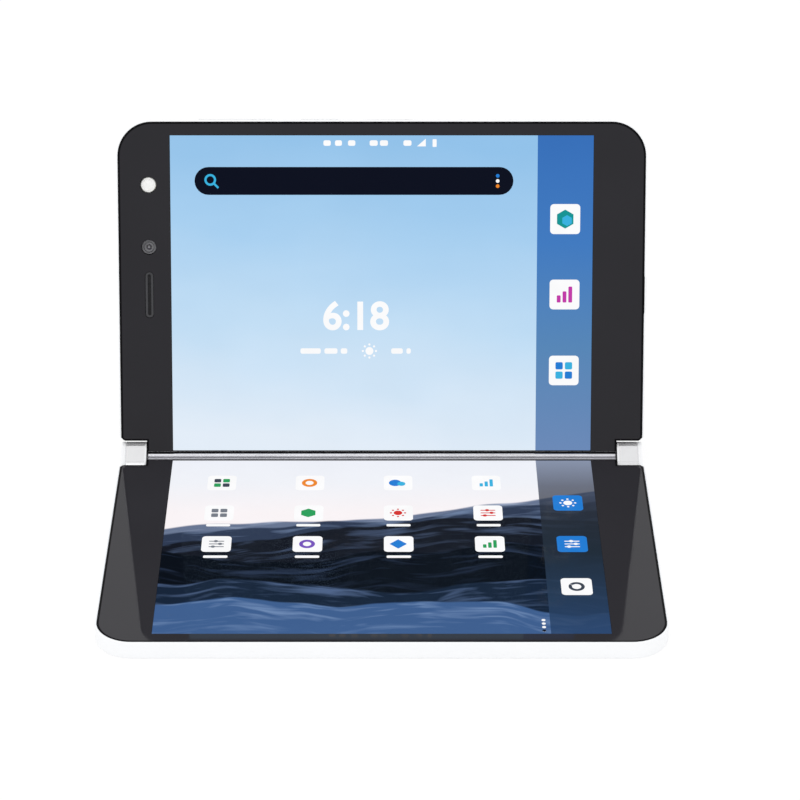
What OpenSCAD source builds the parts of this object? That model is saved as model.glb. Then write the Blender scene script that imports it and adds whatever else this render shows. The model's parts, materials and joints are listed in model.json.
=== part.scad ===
// Folding phone with two rigid screen halves joined by two small geared hinges.
// It stands open like a small laptop: the lower half lies on its back, the upper half leans back.
// Origin: middle of the lower half's back face. X runs along the hinge line, Y away from the user.

/* [Halves] */
// Width of each half along the hinge line
body_w = 145.2; // [138:0.1:160]
// Thickness of each half
body_t = 4.8; // [4.8:0.05:5.6]
// Distance from a hinge shaft's axis to the far edge of its half
reach = 91.3; // [88:0.1:104]
// Radius of the two far corners
corner_r = 9.9; // [5:0.1:12]
// Rounding of the frame's outer edges
edge_r = 0.4; // [0.2:0.05:0.45]
// Gap between the two halves when they lie face to face
fold_gap = 0.3; // [0.2:0.05:0.5]
// Opening angle between the two screens as the phone stands
fold_angle = 111.5; // [60:0.5:180]

/* [Frame] */
// Frame rim that shows round the glass
rim_w = 0.5; // [0.45:0.05:0.8]
// Thickness of the frame's side walls
wall_t = 1.7; // [1.4:0.1:2.2]
// Thickness of the wall along the hinge bar and round the hinge notches
inner_wall_t = 1.4; // [1:0.1:1.8]
// Thickness of the plate between screen and battery
mid_t = 0.5; // [0.4:0.05:0.6]
// Depth of the corner notches, from the shaft axis
notch_depth = 3.2; // [2.6:0.1:3.4]
// Length of each corner notch, from the side of the half
notch_len = 7.8; // [7.5:0.1:9]
// Chamfer at the notch's outer corner
notch_chamfer = 1.1; // [0.3:0.1:1.8]

/* [Glass and screen] */
// Thickness of the cover glass
glass_t = 0.65; // [0.5:0.05:0.7]
// Thickness of the back glass
back_t = 0.6; // [0.5:0.05:0.7]
// Thickness of the display panel
screen_t = 0.6; // [0.5:0.05:0.7]
// Border beside the display, from the side of the half
side_border = 14.8; // [13.2:0.1:20]
// Border beyond the display, from the far edge
far_border = 4.2; // [3.7:0.1:12]
// Distance from the shaft axis to the display
screen_start = 0.3; // [0.2:0.05:0.5]
// Gap round glued pieces
glue_gap = 0.05; // [0.03:0.01:0.08]
// Gap between a glass and the rim round it
glass_gap = 0.05; // [0.03:0.01:0.1]

/* [Hinge bar] */
// Depth of the bar behind the shaft axis
bar_depth = 1.6; // [1.4:0.1:2]
// Width of each screwed ear on the bar
ear_w = 9; // [7:0.5:10]
// Distance from the shaft axis to the end of the ears
ear_reach = 7.8; // [6.5:0.1:8]
// Thickness of the ears
ear_t = 0.7; // [0.5:0.05:0.8]
// Ear centre, from the end of the bar
ear_inset = 6.5; // [6:0.1:9]

/* [Hinges] */
// Length of the housing along the hinge line
housing_len = 5.9; // [5.6:0.1:6.2]
// Wall of the housing
housing_wall = 0.5; // [0.4:0.05:0.55]
// Gap between the end of the bar and the housing
housing_gap = 0.2; // [0.2:0.05:0.5]
// Thickness of the end cap outside the housing
cap_t = 1.3; // [0.8:0.1:1.4]
// Rounding of the end cap's rim
cap_round = 0.5; // [0.3:0.1:0.7]
// Length of the cap's plug inside the housing
plug_len = 0.8; // [0.5:0.1:0.8]
// Radius of the shaft in its seat
shaft_r = 0.8; // [0.75:0.01:0.85]
// Radius of the shaft inside the housing
journal_r = 0.6; // [0.55:0.01:0.6]
// Radius of the bore through the shaft
shaft_bore_r = 0.35; // [0.32:0.01:0.38]
// Depth to which a shaft is pressed into the bar
shaft_seat = 12; // [8:0.5:12]
// Running gap round shafts and pins, on the radius
run_gap = 0.02; // [0.015:0.005:0.03]
// Radius of the idler pins
pin_r = 0.35; // [0.3:0.01:0.36]
// Teeth on each gear
gear_teeth = 10; // [10:2:12]
// Pressure angle of the teeth
gear_pressure = 28; // [26:1:28]
// Length of the gear teeth along the shaft
gear_w = 1.3; // [1:0.1:1.4]
// Share of a tooth taken off for play
gear_play = 0.07; // [0.05:0.01:0.1]
// Thickness of the friction clip
clip_t = 1.4; // [1:0.1:1.5]
// Width of the friction clip's slits
clip_slit = 0.15; // [0.1:0.05:0.2]
// Radius of the cable through the left hinge
cable_r = 0.25; // [0.2:0.01:0.25]

/* [Camera side] */
// Distance of the camera, flash and earpiece line from the side
feature_inset = 8.8; // [8:0.1:9.5]
// Distance of the flash from the shaft axis
flash_reach = 73.6; // [70:0.1:76]
// Radius of the flash lens
flash_r = 2.05; // [1.5:0.05:2.2]
// Distance of the camera from the shaft axis
camera_reach = 56.6; // [55:0.1:60]
// Outer radius of the ring round the camera lens
camera_r = 2; // [1.8:0.05:2.2]
// Radius of the camera lens
lens_r = 1.4; // [1:0.05:1.5]
// Width of the square camera body
camera_w = 6.4; // [5:0.1:7]
// Distance of the earpiece's middle from the shaft axis
ear_slot_reach = 43.5; // [40:0.1:45]
// Length of the earpiece insert
ear_slot_len = 12.7; // [9:0.1:13]
// Width of the earpiece insert
ear_slot_w = 2.3; // [1.6:0.1:2.6]
// Rim of the earpiece insert round its mesh
ear_rim = 0.6; // [0.4:0.05:0.7]
// How deep the earpiece mesh lies below the glass face
mesh_drop = 0.35; // [0.2:0.05:0.5]

/* [Socket] */
// Distance of the charging socket from the shaft axis
socket_reach = 43.5; // [38:0.1:50]
// Width of the opening for the plug
socket_w = 8.4; // [8.3:0.05:8.5]
// Height of the opening for the plug
socket_h = 2.6; // [2.5:0.05:2.65]
// Wall of the socket's metal shell
socket_wall = 0.25; // [0.2:0.01:0.27]
// Length of the socket's shell
socket_len = 7; // [6.2:0.1:7.3]
// How far the collar stands out of the side
collar_out = 0.2; // [0.1:0.05:0.4]
// Width of the tongue inside the socket
tongue_w = 6.7; // [6.4:0.1:6.8]
// Thickness of the tongue
tongue_t = 0.7; // [0.6:0.05:0.75]
// Length of the tongue
tongue_len = 4.4; // [4:0.1:4.6]

/* [Far edge] */
// Middle of the volume rocker, from the middle of the phone
rocker_x = -40; // [-44:0.5:-36]
// Length of the volume rocker
rocker_len = 20; // [16:0.5:20]
// Middle of the power button
power_x = -17; // [-20:0.5:-16]
// Length of the power button
power_len = 10; // [8:0.5:10]
// Middle of the fingerprint sensor
finger_x = 2; // [0:0.5:6]
// Length of the fingerprint sensor
finger_len = 12; // [10:0.5:12]
// Thickness of the keys, across the edge
key_t = 1.5; // [1.2:0.1:1.6]
// How far the keys stand out of the edge
key_out = 0.25; // [0.15:0.05:0.4]
// Travel of the power button
key_travel = 0.25; // [0.15:0.05:0.25]
// Gap between a key's flange and the wall
key_back_gap = 0.2; // [0.18:0.01:0.25]
// Gap round a key in its slot
key_gap = 0.1; // [0.08:0.01:0.15]
// Middle of the card tray
tray_x = 38; // [34:0.5:42]
// Length of the card tray's head
tray_head_w = 15; // [13:0.5:16]
// Height of the card tray's head
tray_head_t = 1.7; // [1.4:0.1:1.8]
// Width of the card tray's plate
tray_w = 11; // [10:0.1:12]
// Length of the card tray's plate
tray_len = 15; // [12:0.5:15]
// Thickness of the card tray's plate
tray_t = 0.7; // [0.5:0.05:0.8]
// Radius of the hole that lets the card tray out
eject_r = 0.4; // [0.3:0.05:0.45]

/* [Inside] */
// Thickness of the boards
board_t = 0.5; // [0.4:0.05:0.6]
// Height of the posts that carry the boards
post_h = 0.7; // [0.6:0.05:0.8]
// Thickness of the batteries
battery_t = 2.1; // [1.8:0.1:2.1]
// Distance from each side of the half to the lower battery
lower_battery_side = 23.6; // [20:0.1:32]
// Distance from the far edge to the lower battery
lower_battery_far = 9.5; // [8:0.1:20]
// Distance from the right side of the half to the upper battery
upper_battery_side = 23.5; // [20:0.1:32]
// Gap between the battery and the board beside it
battery_gap = 1.6; // [1:0.1:3]
// Width of the lane for the socket's flat cable, beyond the upper battery
flex_lane = 4.7; // [4.2:0.1:8]
// Width of the main board beside the upper battery
board_w = 17.5; // [15:0.1:19]
// Height of the main board's strip along the far edge
strip_h = 9.8; // [9:0.1:11]
// Height of the lower board
lower_board_h = 9.5; // [9:0.1:12]
// Distance from each side of the half to the lower board
lower_board_side = 20.6; // [20:0.1:26]
// Radius of a screw's thread
screw_r = 0.4; // [0.35:0.01:0.45]
// Radius of a screw's head
screw_head_r = 0.85; // [0.7:0.05:0.9]
// Thickness of a screw's head
screw_head_t = 0.3; // [0.25:0.05:0.4]

/* [Hidden] */
$fn = 48;
cut = 1;
top = body_t / 2;
axis_gap = body_t + fold_gap;
glass_z = top - glass_t;
screen_z = glass_z - screen_t;
screen_w = body_w - 2 * side_border;
screen_h = reach - screen_start - far_border;
mid_top = screen_z - glue_gap;
mid_z = mid_top - mid_t;
back_z = -top + back_t;
axis_y = (reach - bar_depth) / 2;
link_angle = 90 - fold_angle / 2;
lean_angle = 180 - fold_angle;

bar_half = body_w / 2 - notch_len;
bar_round = top;
wall_in = reach - wall_t;
notch_rim = 0.1;
ear_screw_in = 1.8;
feature_x = -body_w / 2 + feature_inset;
bay_mid = (back_z + mid_z) / 2;

housing_x = bar_half + housing_gap;
housing_end = housing_x + housing_len;
cavity_r = top - housing_wall;
cavity_x = housing_x + housing_wall + 0.1;
shaft_x = bar_half - shaft_seat;
pitch_r = axis_gap / 6;
gear_step = 2 * pitch_r;
gear_x = cavity_x + 0.1;
clip_x = gear_x + gear_w + 0.3;
journal_end = clip_x + clip_t + 0.4;
cable_turn = 0.6;
cable_end = shaft_x - 2.5;
lead_w = 4;
lead_x = cable_end - lead_w;

board_top = mid_z - post_h;
board_z = board_top - board_t;
lead_t = 0.24;
lead_top = board_top + lead_t;
board_side = -screen_w / 2 - 0.2;
ear_room = 1;
board_start = ear_reach + ear_room;
board_far = 7;
board_end = reach - board_far;
strip_past = 10;
strip_end = finger_x + finger_len / 2 + strip_past;
upper_battery_x = board_side + board_w + battery_gap;
upper_battery_y = board_start + ear_room;
upper_battery_w = body_w / 2 - upper_battery_side - upper_battery_x;
upper_battery_h = board_end - strip_h - flex_lane - upper_battery_y;
lower_board_w = body_w - 2 * lower_board_side;
lower_battery_y = board_start + lower_board_h + battery_gap;
lower_battery_w = body_w - 2 * lower_battery_side;
lower_battery_h = reach - lower_battery_far - lower_battery_y;
battery_r = 1.5;
bay_room = 0.15;
post_wall = 0.3;
post_in = 3;
screw_slot = 0.2;

socket_z = (glass_z + back_z) / 2;
socket_x = body_w / 2 - 0.4;
shell_w = socket_w + 2 * socket_wall;
shell_h = socket_h + 2 * socket_wall;
collar_w = shell_w + 0.7;
collar_h = shell_h + 0.3;
collar_x = body_w / 2 - wall_t + 0.7;

key_flange_t = 0.5;
key_flange_y = wall_in - key_back_gap - key_flange_t;
dome_h = 0.6;
dome_gap = 0.05;
dome_y = key_flange_y - dome_gap - key_travel - dome_h;
rocker_rib_r = dome_h + key_travel;
flex_t = 0.3;
rail_t = 1;
rail_y = dome_y - flex_t - rail_t;
rail_x0 = rocker_x - rocker_len / 2;
rail_x1 = power_x + power_len / 2;
reader_y = reach - tray_len - wall_t - 1;

body_paint = [0.93, 0.93, 0.94];
silver = [0.78, 0.79, 0.8];
steel = [0.6, 0.61, 0.63];
bezel_black = [0.06, 0.06, 0.07];
glass_black = [0.16, 0.16, 0.18];
sky_blue = [0.66, 0.82, 0.93];
slate = [0.2, 0.26, 0.36];
board_green = [0.1, 0.32, 0.24];
copper_orange = [0.8, 0.48, 0.2];
dark_grey = [0.22, 0.22, 0.24];
mid_grey = [0.45, 0.46, 0.48];
gold = [0.8, 0.66, 0.35];

// Every half is drawn with its shaft axis on X, its far edge towards +Y and its screen up.
module lower_half() {
    translate([0, axis_y, top]) rotate([0, 0, 180]) children();
}

module upper_half() {
    translate([0, axis_y + axis_gap * cos(link_angle), top + axis_gap * sin(link_angle)])
        rotate([lean_angle, 0, 0]) children();
}

// A hinge is drawn on the right, with the lower shaft on X and the upper shaft towards +Y.
module hinge_spot(side) {
    translate([0, axis_y, top]) rotate([link_angle, 0, 0])
        if (side > 0) children();
        else mirror([1, 0, 0]) children();
}

// Box between two corners
module block(from, to) {
    translate(from) cube(to - from);
}

// Shape in Y and Z drawn out along X
module along_x(x, len) {
    translate([x, 0, 0]) rotate([90, 0, 90]) linear_extrude(len) children();
}

// Shape in X and Z drawn out along Y
module along_y(y, len) {
    translate([0, y + len, 0]) rotate([90, 0, 0]) linear_extrude(len) children();
}

// Slot shape with round ends, its length along X
module slot_shape(len, w) {
    square([len - w, w], center = true);
    for (end = [-1, 1]) translate([end * (len - w) / 2, 0]) circle(d = w);
}

// Outline of a half, drawn in from the outer edges by inset and round the notches by grow
module half_shape(inset, grow) {
    w = body_w - 2 * inset;
    far = reach - inset;
    r = corner_r - inset;
    difference() {
        union() {
            translate([-w / 2, 0]) square([w, far - r]);
            translate([-w / 2 + r, 0]) square([w - 2 * r, far]);
            for (side = [-1, 1]) translate([side * (w / 2 - r), far - r]) circle(r);
        }
        for (side = [-1, 1]) mirror([side < 0 ? 1 : 0, 0]) notch_shape(grow);
    }
}

module notch_shape(grow) {
    x = bar_half - grow;
    y = notch_depth + grow;
    edge = body_w / 2;
    polygon([[x, -cut], [x, y], [edge - notch_chamfer, y], [edge + cut, y + notch_chamfer + cut],
        [edge + cut, -cut]]);
}

// Cuts that round one outer rim of the frame
module rim_cuts() {
    for (side = [-1, 1]) mirror([side < 0 ? 1 : 0, 0, 0]) {
        translate([body_w / 2, reach - corner_r, top]) rotate([90, 0, 0])
            linear_extrude(reach - corner_r + cut) rim_corner();
        translate([body_w / 2 - corner_r, reach - corner_r, top])
            rotate_extrude(angle = 90) translate([corner_r, 0]) rim_corner();
    }
    translate([corner_r - body_w / 2, reach, top]) rotate([90, 0, 90])
        linear_extrude(body_w - 2 * corner_r) rim_corner();
}

module rim_corner() {
    difference() {
        translate([-edge_r, -edge_r]) square(edge_r + cut);
        translate([-edge_r, -edge_r]) circle(edge_r);
    }
}

// Frame shared by both halves: rim, ledges for both glasses, mid plate and battery bay
module half_frame() {
    difference() {
        translate([0, 0, -top]) linear_extrude(body_t) half_shape(0, 0);
        translate([-body_w, -cut, -body_t]) cube([2 * body_w, bar_depth + cut, 2 * body_t]);
        rim_cuts();
        mirror([0, 0, 1]) rim_cuts();
        translate([0, 0, glass_z]) linear_extrude(top) half_shape(rim_w, notch_rim);
        translate([0, 0, mid_top]) linear_extrude(top) frame_bay(bar_depth - cut);
        translate([0, 0, back_z]) linear_extrude(mid_z - back_z) frame_bay(bar_depth + inner_wall_t);
        translate([0, 0, back_z - body_t]) linear_extrude(body_t) half_shape(rim_w, notch_rim);
        for (x = ear_places()) block([x - ear_w / 2 - glue_gap, 0, mid_z - ear_t - glue_gap],
            [x + ear_w / 2 + glue_gap, ear_reach + glue_gap, mid_z]);
        for (p = ear_screws()) translate([p[0], p[1], mid_z - cut])
            cylinder(r = screw_r, h = mid_t + 2 * cut);
    }
}

module frame_bay(start) {
    intersection() {
        half_shape(wall_t, inner_wall_t);
        translate([-body_w / 2, start]) square([body_w, reach]);
    }
}

// Posts under the mid plate that carry a board, each with its screw hole
module posts(places) {
    for (p = places) translate([p[0], p[1], board_top]) difference() {
        cylinder(r = screw_head_r + post_wall, h = mid_z - board_top + mid_t / 2);
        translate([0, 0, -cut]) cylinder(r = screw_r, h = mid_z - board_top + cut);
    }
}

function ear_places() = [-bar_half + ear_inset, bar_half - ear_inset];
function ear_screws() = [for (x = ear_places(), step = [-1, 1])
    [x + step * ear_w / 4, ear_reach - ear_screw_in]];

// Half-round bar that carries both shafts of a half; lead_side is where the cable comes out
module hinge_bar(lead_side) {
    difference() {
        union() {
            along_x(-bar_half, 2 * bar_half) {
                intersection() {
                    circle(bar_round);
                    translate([-2 * top, -top]) square([2 * top, body_t]);
                }
                translate([0, back_z]) square([screen_start - glue_gap, glass_z - back_z]);
                translate([0, back_z]) square([bar_depth, mid_top - back_z]);
            }
            for (x = ear_places()) block([x - ear_w / 2, bar_depth - 0.5, mid_z - ear_t],
                [x + ear_w / 2, ear_reach, mid_z - glue_gap]);
        }
        for (side = [-1, 1]) translate([side * bar_half, 0, 0]) rotate([0, -90 * side, 0])
            translate([0, 0, -cut]) cylinder(r = shaft_r, h = shaft_seat + cut);
        for (p = ear_screws()) translate([p[0], p[1], mid_z - ear_t - cut])
            cylinder(r = screw_r + 0.05, h = ear_t + 2 * cut);
        mirror([lead_side < 0 ? 1 : 0, 0, 0]) {
            along_x(cable_end - cut, shaft_x - cable_end + 2 * cut) circle(cable_r + 0.15);
            block([lead_x - 0.4, -cable_r - 0.2, min(-cable_r, board_top) - 0.25],
                [cable_end + 0.2, bar_depth + cut, max(cable_r, lead_top) + 0.25]);
        }
    }
}

module screws_at(places, seat, len) {
    for (p = places) translate([p[0], p[1], seat]) difference() {
        union() {
            translate([0, 0, -screw_head_t]) cylinder(r = screw_head_r, h = screw_head_t);
            cylinder(r = screw_r, h = len);
        }
        translate([-screw_head_r, -screw_slot / 2, -screw_head_t - cut])
            cube([2 * screw_head_r, screw_slot, cut + screw_head_t / 2]);
    }
}

module cover_glass_shape() {
    intersection() {
        half_shape(rim_w + glass_gap, notch_rim);
        translate([-body_w / 2, glue_gap]) square([body_w, reach]);
    }
}

module display_plate() {
    block([-screen_w / 2, screen_start, screen_z],
        [screen_w / 2, screen_start + screen_h, glass_z]);
}

// Black border piece between the display and the frame
module bezel_ring() {
    difference() {
        translate([0, 0, mid_top + glue_gap]) linear_extrude(glass_z - mid_top - glue_gap)
            intersection() {
                half_shape(wall_t + glue_gap, inner_wall_t + glue_gap);
                translate([-body_w / 2, screen_start]) square([body_w, reach]);
            }
        block([-screen_w / 2 - glue_gap, 0, 0],
            [screen_w / 2 + glue_gap, screen_start + screen_h + glue_gap, body_t]);
    }
}

module back_plate() {
    translate([0, 0, -top]) linear_extrude(back_t - glue_gap) cover_glass_shape();
}

// Round-cornered battery with its folded end
module battery(x, y, w, h) {
    z = bay_mid - battery_t / 2;
    translate([x + w / 2, y + h / 2, z]) linear_extrude(battery_t) {
        square([w - 2 * battery_r, h], center = true);
        square([w, h - 2 * battery_r], center = true);
        for (sx = [-1, 1], sy = [-1, 1]) translate([sx * (w / 2 - battery_r), sy * (h / 2 - battery_r)])
            circle(battery_r);
    }
}

// Flat cable from the display down through the mid plate to its plug on the board
module display_flex(x, y) {
    block([x, y, board_top], [x + 8, y + flex_t, screen_z]);
    block([x, y - 4, board_top], [x + 8, y + flex_t / 2, board_top + flex_t / 2]);
    block([x + 0.5, y - 4, board_top + flex_t / 2], [x + 7.5, y - 2, board_top + 0.5]);
}

module flex_cut(x, y) {
    block([x - 0.3, y - 0.3, mid_z - cut], [x + 8.3, y + flex_t + 0.3, mid_top + cut]);
}

// Short lead from the hinge cable's end to its plug on the board
module hinge_lead(side) {
    mirror([side < 0 ? 1 : 0, 0, 0]) {
        block([lead_x, 0.2, board_top], [cable_end - 0.3, board_start + 3, lead_top]);
        block([lead_x, board_start + 0.4, lead_top - 0.02],
            [cable_end - 0.3, board_start + 3, lead_top + 0.35]);
    }
}

module lead_cut(side) {
    mirror([side < 0 ? 1 : 0, 0, 0])
        block([lead_x - 0.3, 0, board_top - 0.2],
            [cable_end, bar_depth + inner_wall_t + cut, lead_top + 0.2]);
}

// Lower half

lower_post_in = [2, 10];
lower_posts = [[-lower_board_w / 2 + lower_post_in[0], board_start + post_in],
    [0, board_start + post_in],
    [lower_board_w / 2 - lower_post_in[1], board_start + 2 * post_in]];
lower_flex_in = 22;
lower_flex_x = lower_flex_in - lower_board_w / 2;
lower_flex_y = board_start + lower_board_h - post_in;
motor_size = [9.5, 8, 2];
motor_in = [10.6, 22];

module lower_frame() {
    color(body_paint) lower_half() {
        difference() {
            half_frame();
            lead_cut(1);
            flex_cut(lower_flex_x, lower_flex_y);
        }
        posts(lower_posts);
    }
}

module lower_hinge_bar() {
    color(silver) lower_half() hinge_bar(1);
}

module lower_cover_glass() {
    color(glass_black) lower_half() translate([0, 0, glass_z])
        linear_extrude(glass_t) cover_glass_shape();
}

module lower_bezel() {
    color(bezel_black) lower_half() bezel_ring();
}

module lower_display() {
    color(slate) lower_half() display_plate();
}

module lower_display_flex() {
    color(copper_orange) lower_half() display_flex(lower_flex_x, lower_flex_y);
}

module lower_back_glass() {
    color(body_paint) lower_half() back_plate();
}

module lower_battery() {
    color(dark_grey) lower_half()
        battery(-lower_battery_w / 2, lower_battery_y, lower_battery_w, lower_battery_h);
}

module lower_board() {
    color(board_green) lower_half() difference() {
        block([-lower_board_w / 2, board_start, board_z],
            [lower_board_w / 2, board_start + lower_board_h, board_top]);
        for (p = lower_posts) translate([p[0], p[1], board_z - cut])
            cylinder(r = screw_r + 0.05, h = board_t + 2 * cut);
    }
}

module lower_screws() {
    color(steel) lower_half() {
        screws_at(ear_screws(), mid_z - ear_t, ear_t + mid_t - glue_gap);
        screws_at(lower_posts, board_z, board_t + post_h);
    }
}

module lower_lead() {
    color(copper_orange) lower_half() hinge_lead(1);
}

module haptic_motor() {
    color(mid_grey) lower_half()
        translate([motor_in[0] - body_w / 2, reach - motor_in[1], mid_z - motor_size[2]])
            cube(motor_size);
}

// Upper half

upper_posts = [[board_side + post_in, board_start + post_in],
    [board_side + post_in, board_end - post_in], [strip_end - post_in, board_end - post_in]];
shield_h = 1;
upper_flex_in = [5, 18];
upper_flex_x = board_side + upper_flex_in[0];
upper_flex_y = board_end - upper_flex_in[1];

module upper_frame() {
    color(body_paint) upper_half() {
        difference() {
            half_frame();
            lead_cut(-1);
            flex_cut(upper_flex_x, upper_flex_y);
            translate([feature_x, camera_reach, 0])
                cube([camera_w + 0.4, camera_w + 0.4, body_t - 2 * back_t], center = true);
            translate([feature_x, flash_reach, mid_z - cut]) cylinder(r = flash_r + 0.1, h = body_t);
            translate([feature_x, ear_slot_reach, 0])
                cube([speaker_size[0] + 0.3, speaker_size[1] + 0.3, 2 * mid_top], center = true);
            along_x(collar_x, wall_t + cut) socket_place() slot_shape(collar_w + 0.04, collar_h + 0.04);
            along_x(socket_x - socket_len - 0.3, socket_len) socket_place()
                slot_shape(shell_w + 0.2, shell_h + 0.2);
            block([socket_x - socket_len - 0.3, socket_reach - shell_w / 2 - 0.1, 0],
                [body_w / 2 - wall_t, socket_reach + shell_w / 2 + 0.1, glass_z]);
            key_slot(rocker_x, rocker_len);
            key_slot(power_x, power_len);
            key_slot(finger_x, finger_len);
            along_y(wall_in - cut, wall_t + 2 * cut) translate([tray_x, bay_mid])
                slot_shape(tray_head_w + 2 * key_gap, tray_head_t + 2 * key_gap);
        }
        posts(upper_posts);
        block([rail_x0, rail_y, bay_mid - key_t / 2 - 0.3], [rail_x1, rail_y + rail_t, mid_z + mid_t / 2]);
    }
}

module socket_place() {
    translate([socket_reach, socket_z]) children();
}

module key_slot(x, len) {
    along_y(wall_in - cut, wall_t + 2 * cut) translate([x, bay_mid])
        slot_shape(len + 2 * key_gap, key_t + 2 * key_gap);
}

module upper_hinge_bar() {
    color(silver) upper_half() hinge_bar(-1);
}

module upper_cover_glass() {
    color(glass_black) upper_half() difference() {
        translate([0, 0, glass_z]) linear_extrude(glass_t) cover_glass_shape();
        translate([feature_x, ear_slot_reach, glass_z - cut]) rotate([0, 0, 90])
            linear_extrude(glass_t + 2 * cut)
                slot_shape(ear_slot_len + 2 * glass_gap, ear_slot_w + 2 * glass_gap);
    }
}

module upper_bezel() {
    color(bezel_black) upper_half() difference() {
        bezel_ring();
        translate([feature_x, camera_reach, 0]) cylinder(r = camera_r + 0.1, h = body_t);
        translate([feature_x, flash_reach, 0]) cylinder(r = flash_r + 0.1, h = body_t);
        translate([feature_x, ear_slot_reach, 0]) rotate([0, 0, 90]) linear_extrude(body_t)
            slot_shape(ear_slot_len + 0.2, ear_slot_w + 0.2);
        block([socket_x - socket_len - 0.3, socket_reach - shell_w / 2 - 0.3, 0],
            [body_w / 2, socket_reach + shell_w / 2 + 0.3, body_t]);
    }
}

module upper_display() {
    color(sky_blue) upper_half() display_plate();
}

module upper_display_flex() {
    color(copper_orange) upper_half() display_flex(upper_flex_x, upper_flex_y);
}

module upper_back_glass() {
    color(body_paint) upper_half() back_plate();
}

module upper_battery() {
    color(dark_grey) upper_half()
        battery(upper_battery_x, upper_battery_y, upper_battery_w, upper_battery_h);
}

module main_board() {
    color(board_green) upper_half() difference() {
        union() {
            block([board_side, board_start, board_z], [board_side + board_w, board_end, board_top]);
            block([board_side, board_end - strip_h, board_z], [strip_end, board_end, board_top]);
        }
        for (p = upper_posts) translate([p[0], p[1], board_z - cut])
            cylinder(r = screw_r + 0.05, h = board_t + 2 * cut);
    }
}

module upper_screws() {
    color(steel) upper_half() {
        screws_at(ear_screws(), mid_z - ear_t, ear_t + mid_t - glue_gap);
        screws_at(upper_posts, board_z, board_t + post_h);
    }
}

module upper_lead() {
    color(copper_orange) upper_half() hinge_lead(-1);
}

module main_shield() {
    color(silver) upper_half() difference() {
        block([board_side + 1, board_start + 6, board_z - shield_h],
            [board_side + board_w - 1, board_end - 8, board_z]);
        block([board_side + 1.2, board_start + 6.2, board_z - shield_h + 0.2],
            [board_side + board_w - 1.2, board_end - 8.2, board_z + cut]);
    }
}

lens_top = glass_z - glue_gap;
ring_h = 0.3;

module camera_body() {
    color(dark_grey) upper_half() translate([feature_x, camera_reach, back_z + bay_room]) {
        difference() {
            union() {
                translate([-camera_w / 2, -camera_w / 2, 0])
                    cube([camera_w, camera_w, mid_top - back_z - bay_room]);
                cylinder(r = camera_r, h = lens_top - ring_h - back_z - bay_room);
            }
            translate([0, 0, 1]) cylinder(r = lens_r, h = body_t);
        }
    }
}

module camera_ring() {
    color(mid_grey) upper_half() translate([feature_x, camera_reach, lens_top - ring_h]) difference() {
        cylinder(r = camera_r, h = ring_h);
        translate([0, 0, -cut]) cylinder(r = lens_r, h = ring_h + 2 * cut);
    }
}

module camera_lens() {
    color(bezel_black) upper_half() translate([feature_x, camera_reach, back_z + bay_room + 1])
        cylinder(r = lens_r, h = lens_top - 0.15 - (back_z + bay_room + 1));
}

module flash_lens() {
    color([0.97, 0.97, 0.95]) upper_half() translate([feature_x, flash_reach, mid_top - 0.4])
        cylinder(r = flash_r, h = lens_top - mid_top + 0.4);
}

module flash_led() {
    color([0.95, 0.88, 0.5]) upper_half() translate([feature_x, flash_reach, 0]) {
        translate([-0.9, -0.9, board_top]) cube([1.8, 1.8, mid_top - 0.4 - board_top]);
        block([-1.4, -1.4, board_z], [board_side - feature_x, 1.4, board_top]);
    }
}

module earpiece_insert() {
    color(mid_grey) upper_half() translate([feature_x, ear_slot_reach, mid_top + 0.1])
        rotate([0, 0, 90]) {
            rise = top - mid_top - 0.1 - 0.1;
            difference() {
                linear_extrude(rise) slot_shape(ear_slot_len, ear_slot_w);
                translate([0, 0, -cut]) linear_extrude(rise + 2 * cut)
                    slot_shape(ear_slot_len - 2 * ear_rim, ear_slot_w - 2 * ear_rim);
            }
            color(bezel_black) difference() {
                translate([0, 0, rise - mesh_drop - 0.2]) linear_extrude(0.2)
                    slot_shape(ear_slot_len - 2 * ear_rim, ear_slot_w - 2 * ear_rim);
                for (i = [-6:6]) translate([i * 0.75, 0, 0]) cylinder(r = 0.2, h = body_t, $fn = 16);
            }
        }
}

speaker_size = [6, 14, 2.7];

module earpiece_speaker() {
    color(dark_grey) upper_half()
        translate([feature_x, ear_slot_reach, mid_top - speaker_size[2] / 2])
            cube(speaker_size, center = true);
}

module socket_shell() {
    color(steel) upper_half() along_x(socket_x - socket_len, socket_len) socket_place()
        difference() {
            slot_shape(shell_w, shell_h);
            slot_shape(socket_w, socket_h);
        }
}

module socket_tongue() {
    color(bezel_black) upper_half() {
        along_x(socket_x - socket_len, 1.4) socket_place() slot_shape(socket_w, socket_h);
        along_x(socket_x - socket_len + 1.3, tongue_len + 0.1) socket_place()
            square([tongue_w, tongue_t], center = true);
    }
}

module socket_collar() {
    color(dark_grey) upper_half() along_x(collar_x, body_w / 2 + collar_out - collar_x)
        socket_place() difference() {
            slot_shape(collar_w, collar_h);
            slot_shape(shell_w + 0.02, shell_h + 0.02);
        }
}

// Flat cable from the socket, round the battery, to the underside of the main board
module socket_flex() {
    x = socket_x - socket_len;
    y = upper_battery_y + upper_battery_h + 0.4;
    under = board_z - flex_t;
    color(copper_orange) upper_half() {
        block([x - 1.6, socket_reach - 4, socket_z - 1], [x, socket_reach + 4, socket_z + 0.5]);
        block([x - 6.2, socket_reach - 3, under], [x - 1.6, socket_reach + 3, board_z]);
        block([x - 6.2, socket_reach - 3, under], [x - 3.2, y + 3, board_z]);
        block([strip_end - 8, y, under], [x - 3.2, y + 3, board_z]);
        block([strip_end - 8, y, under], [strip_end - 2, board_end - strip_h + 2.5, board_z]);
    }
}

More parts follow.
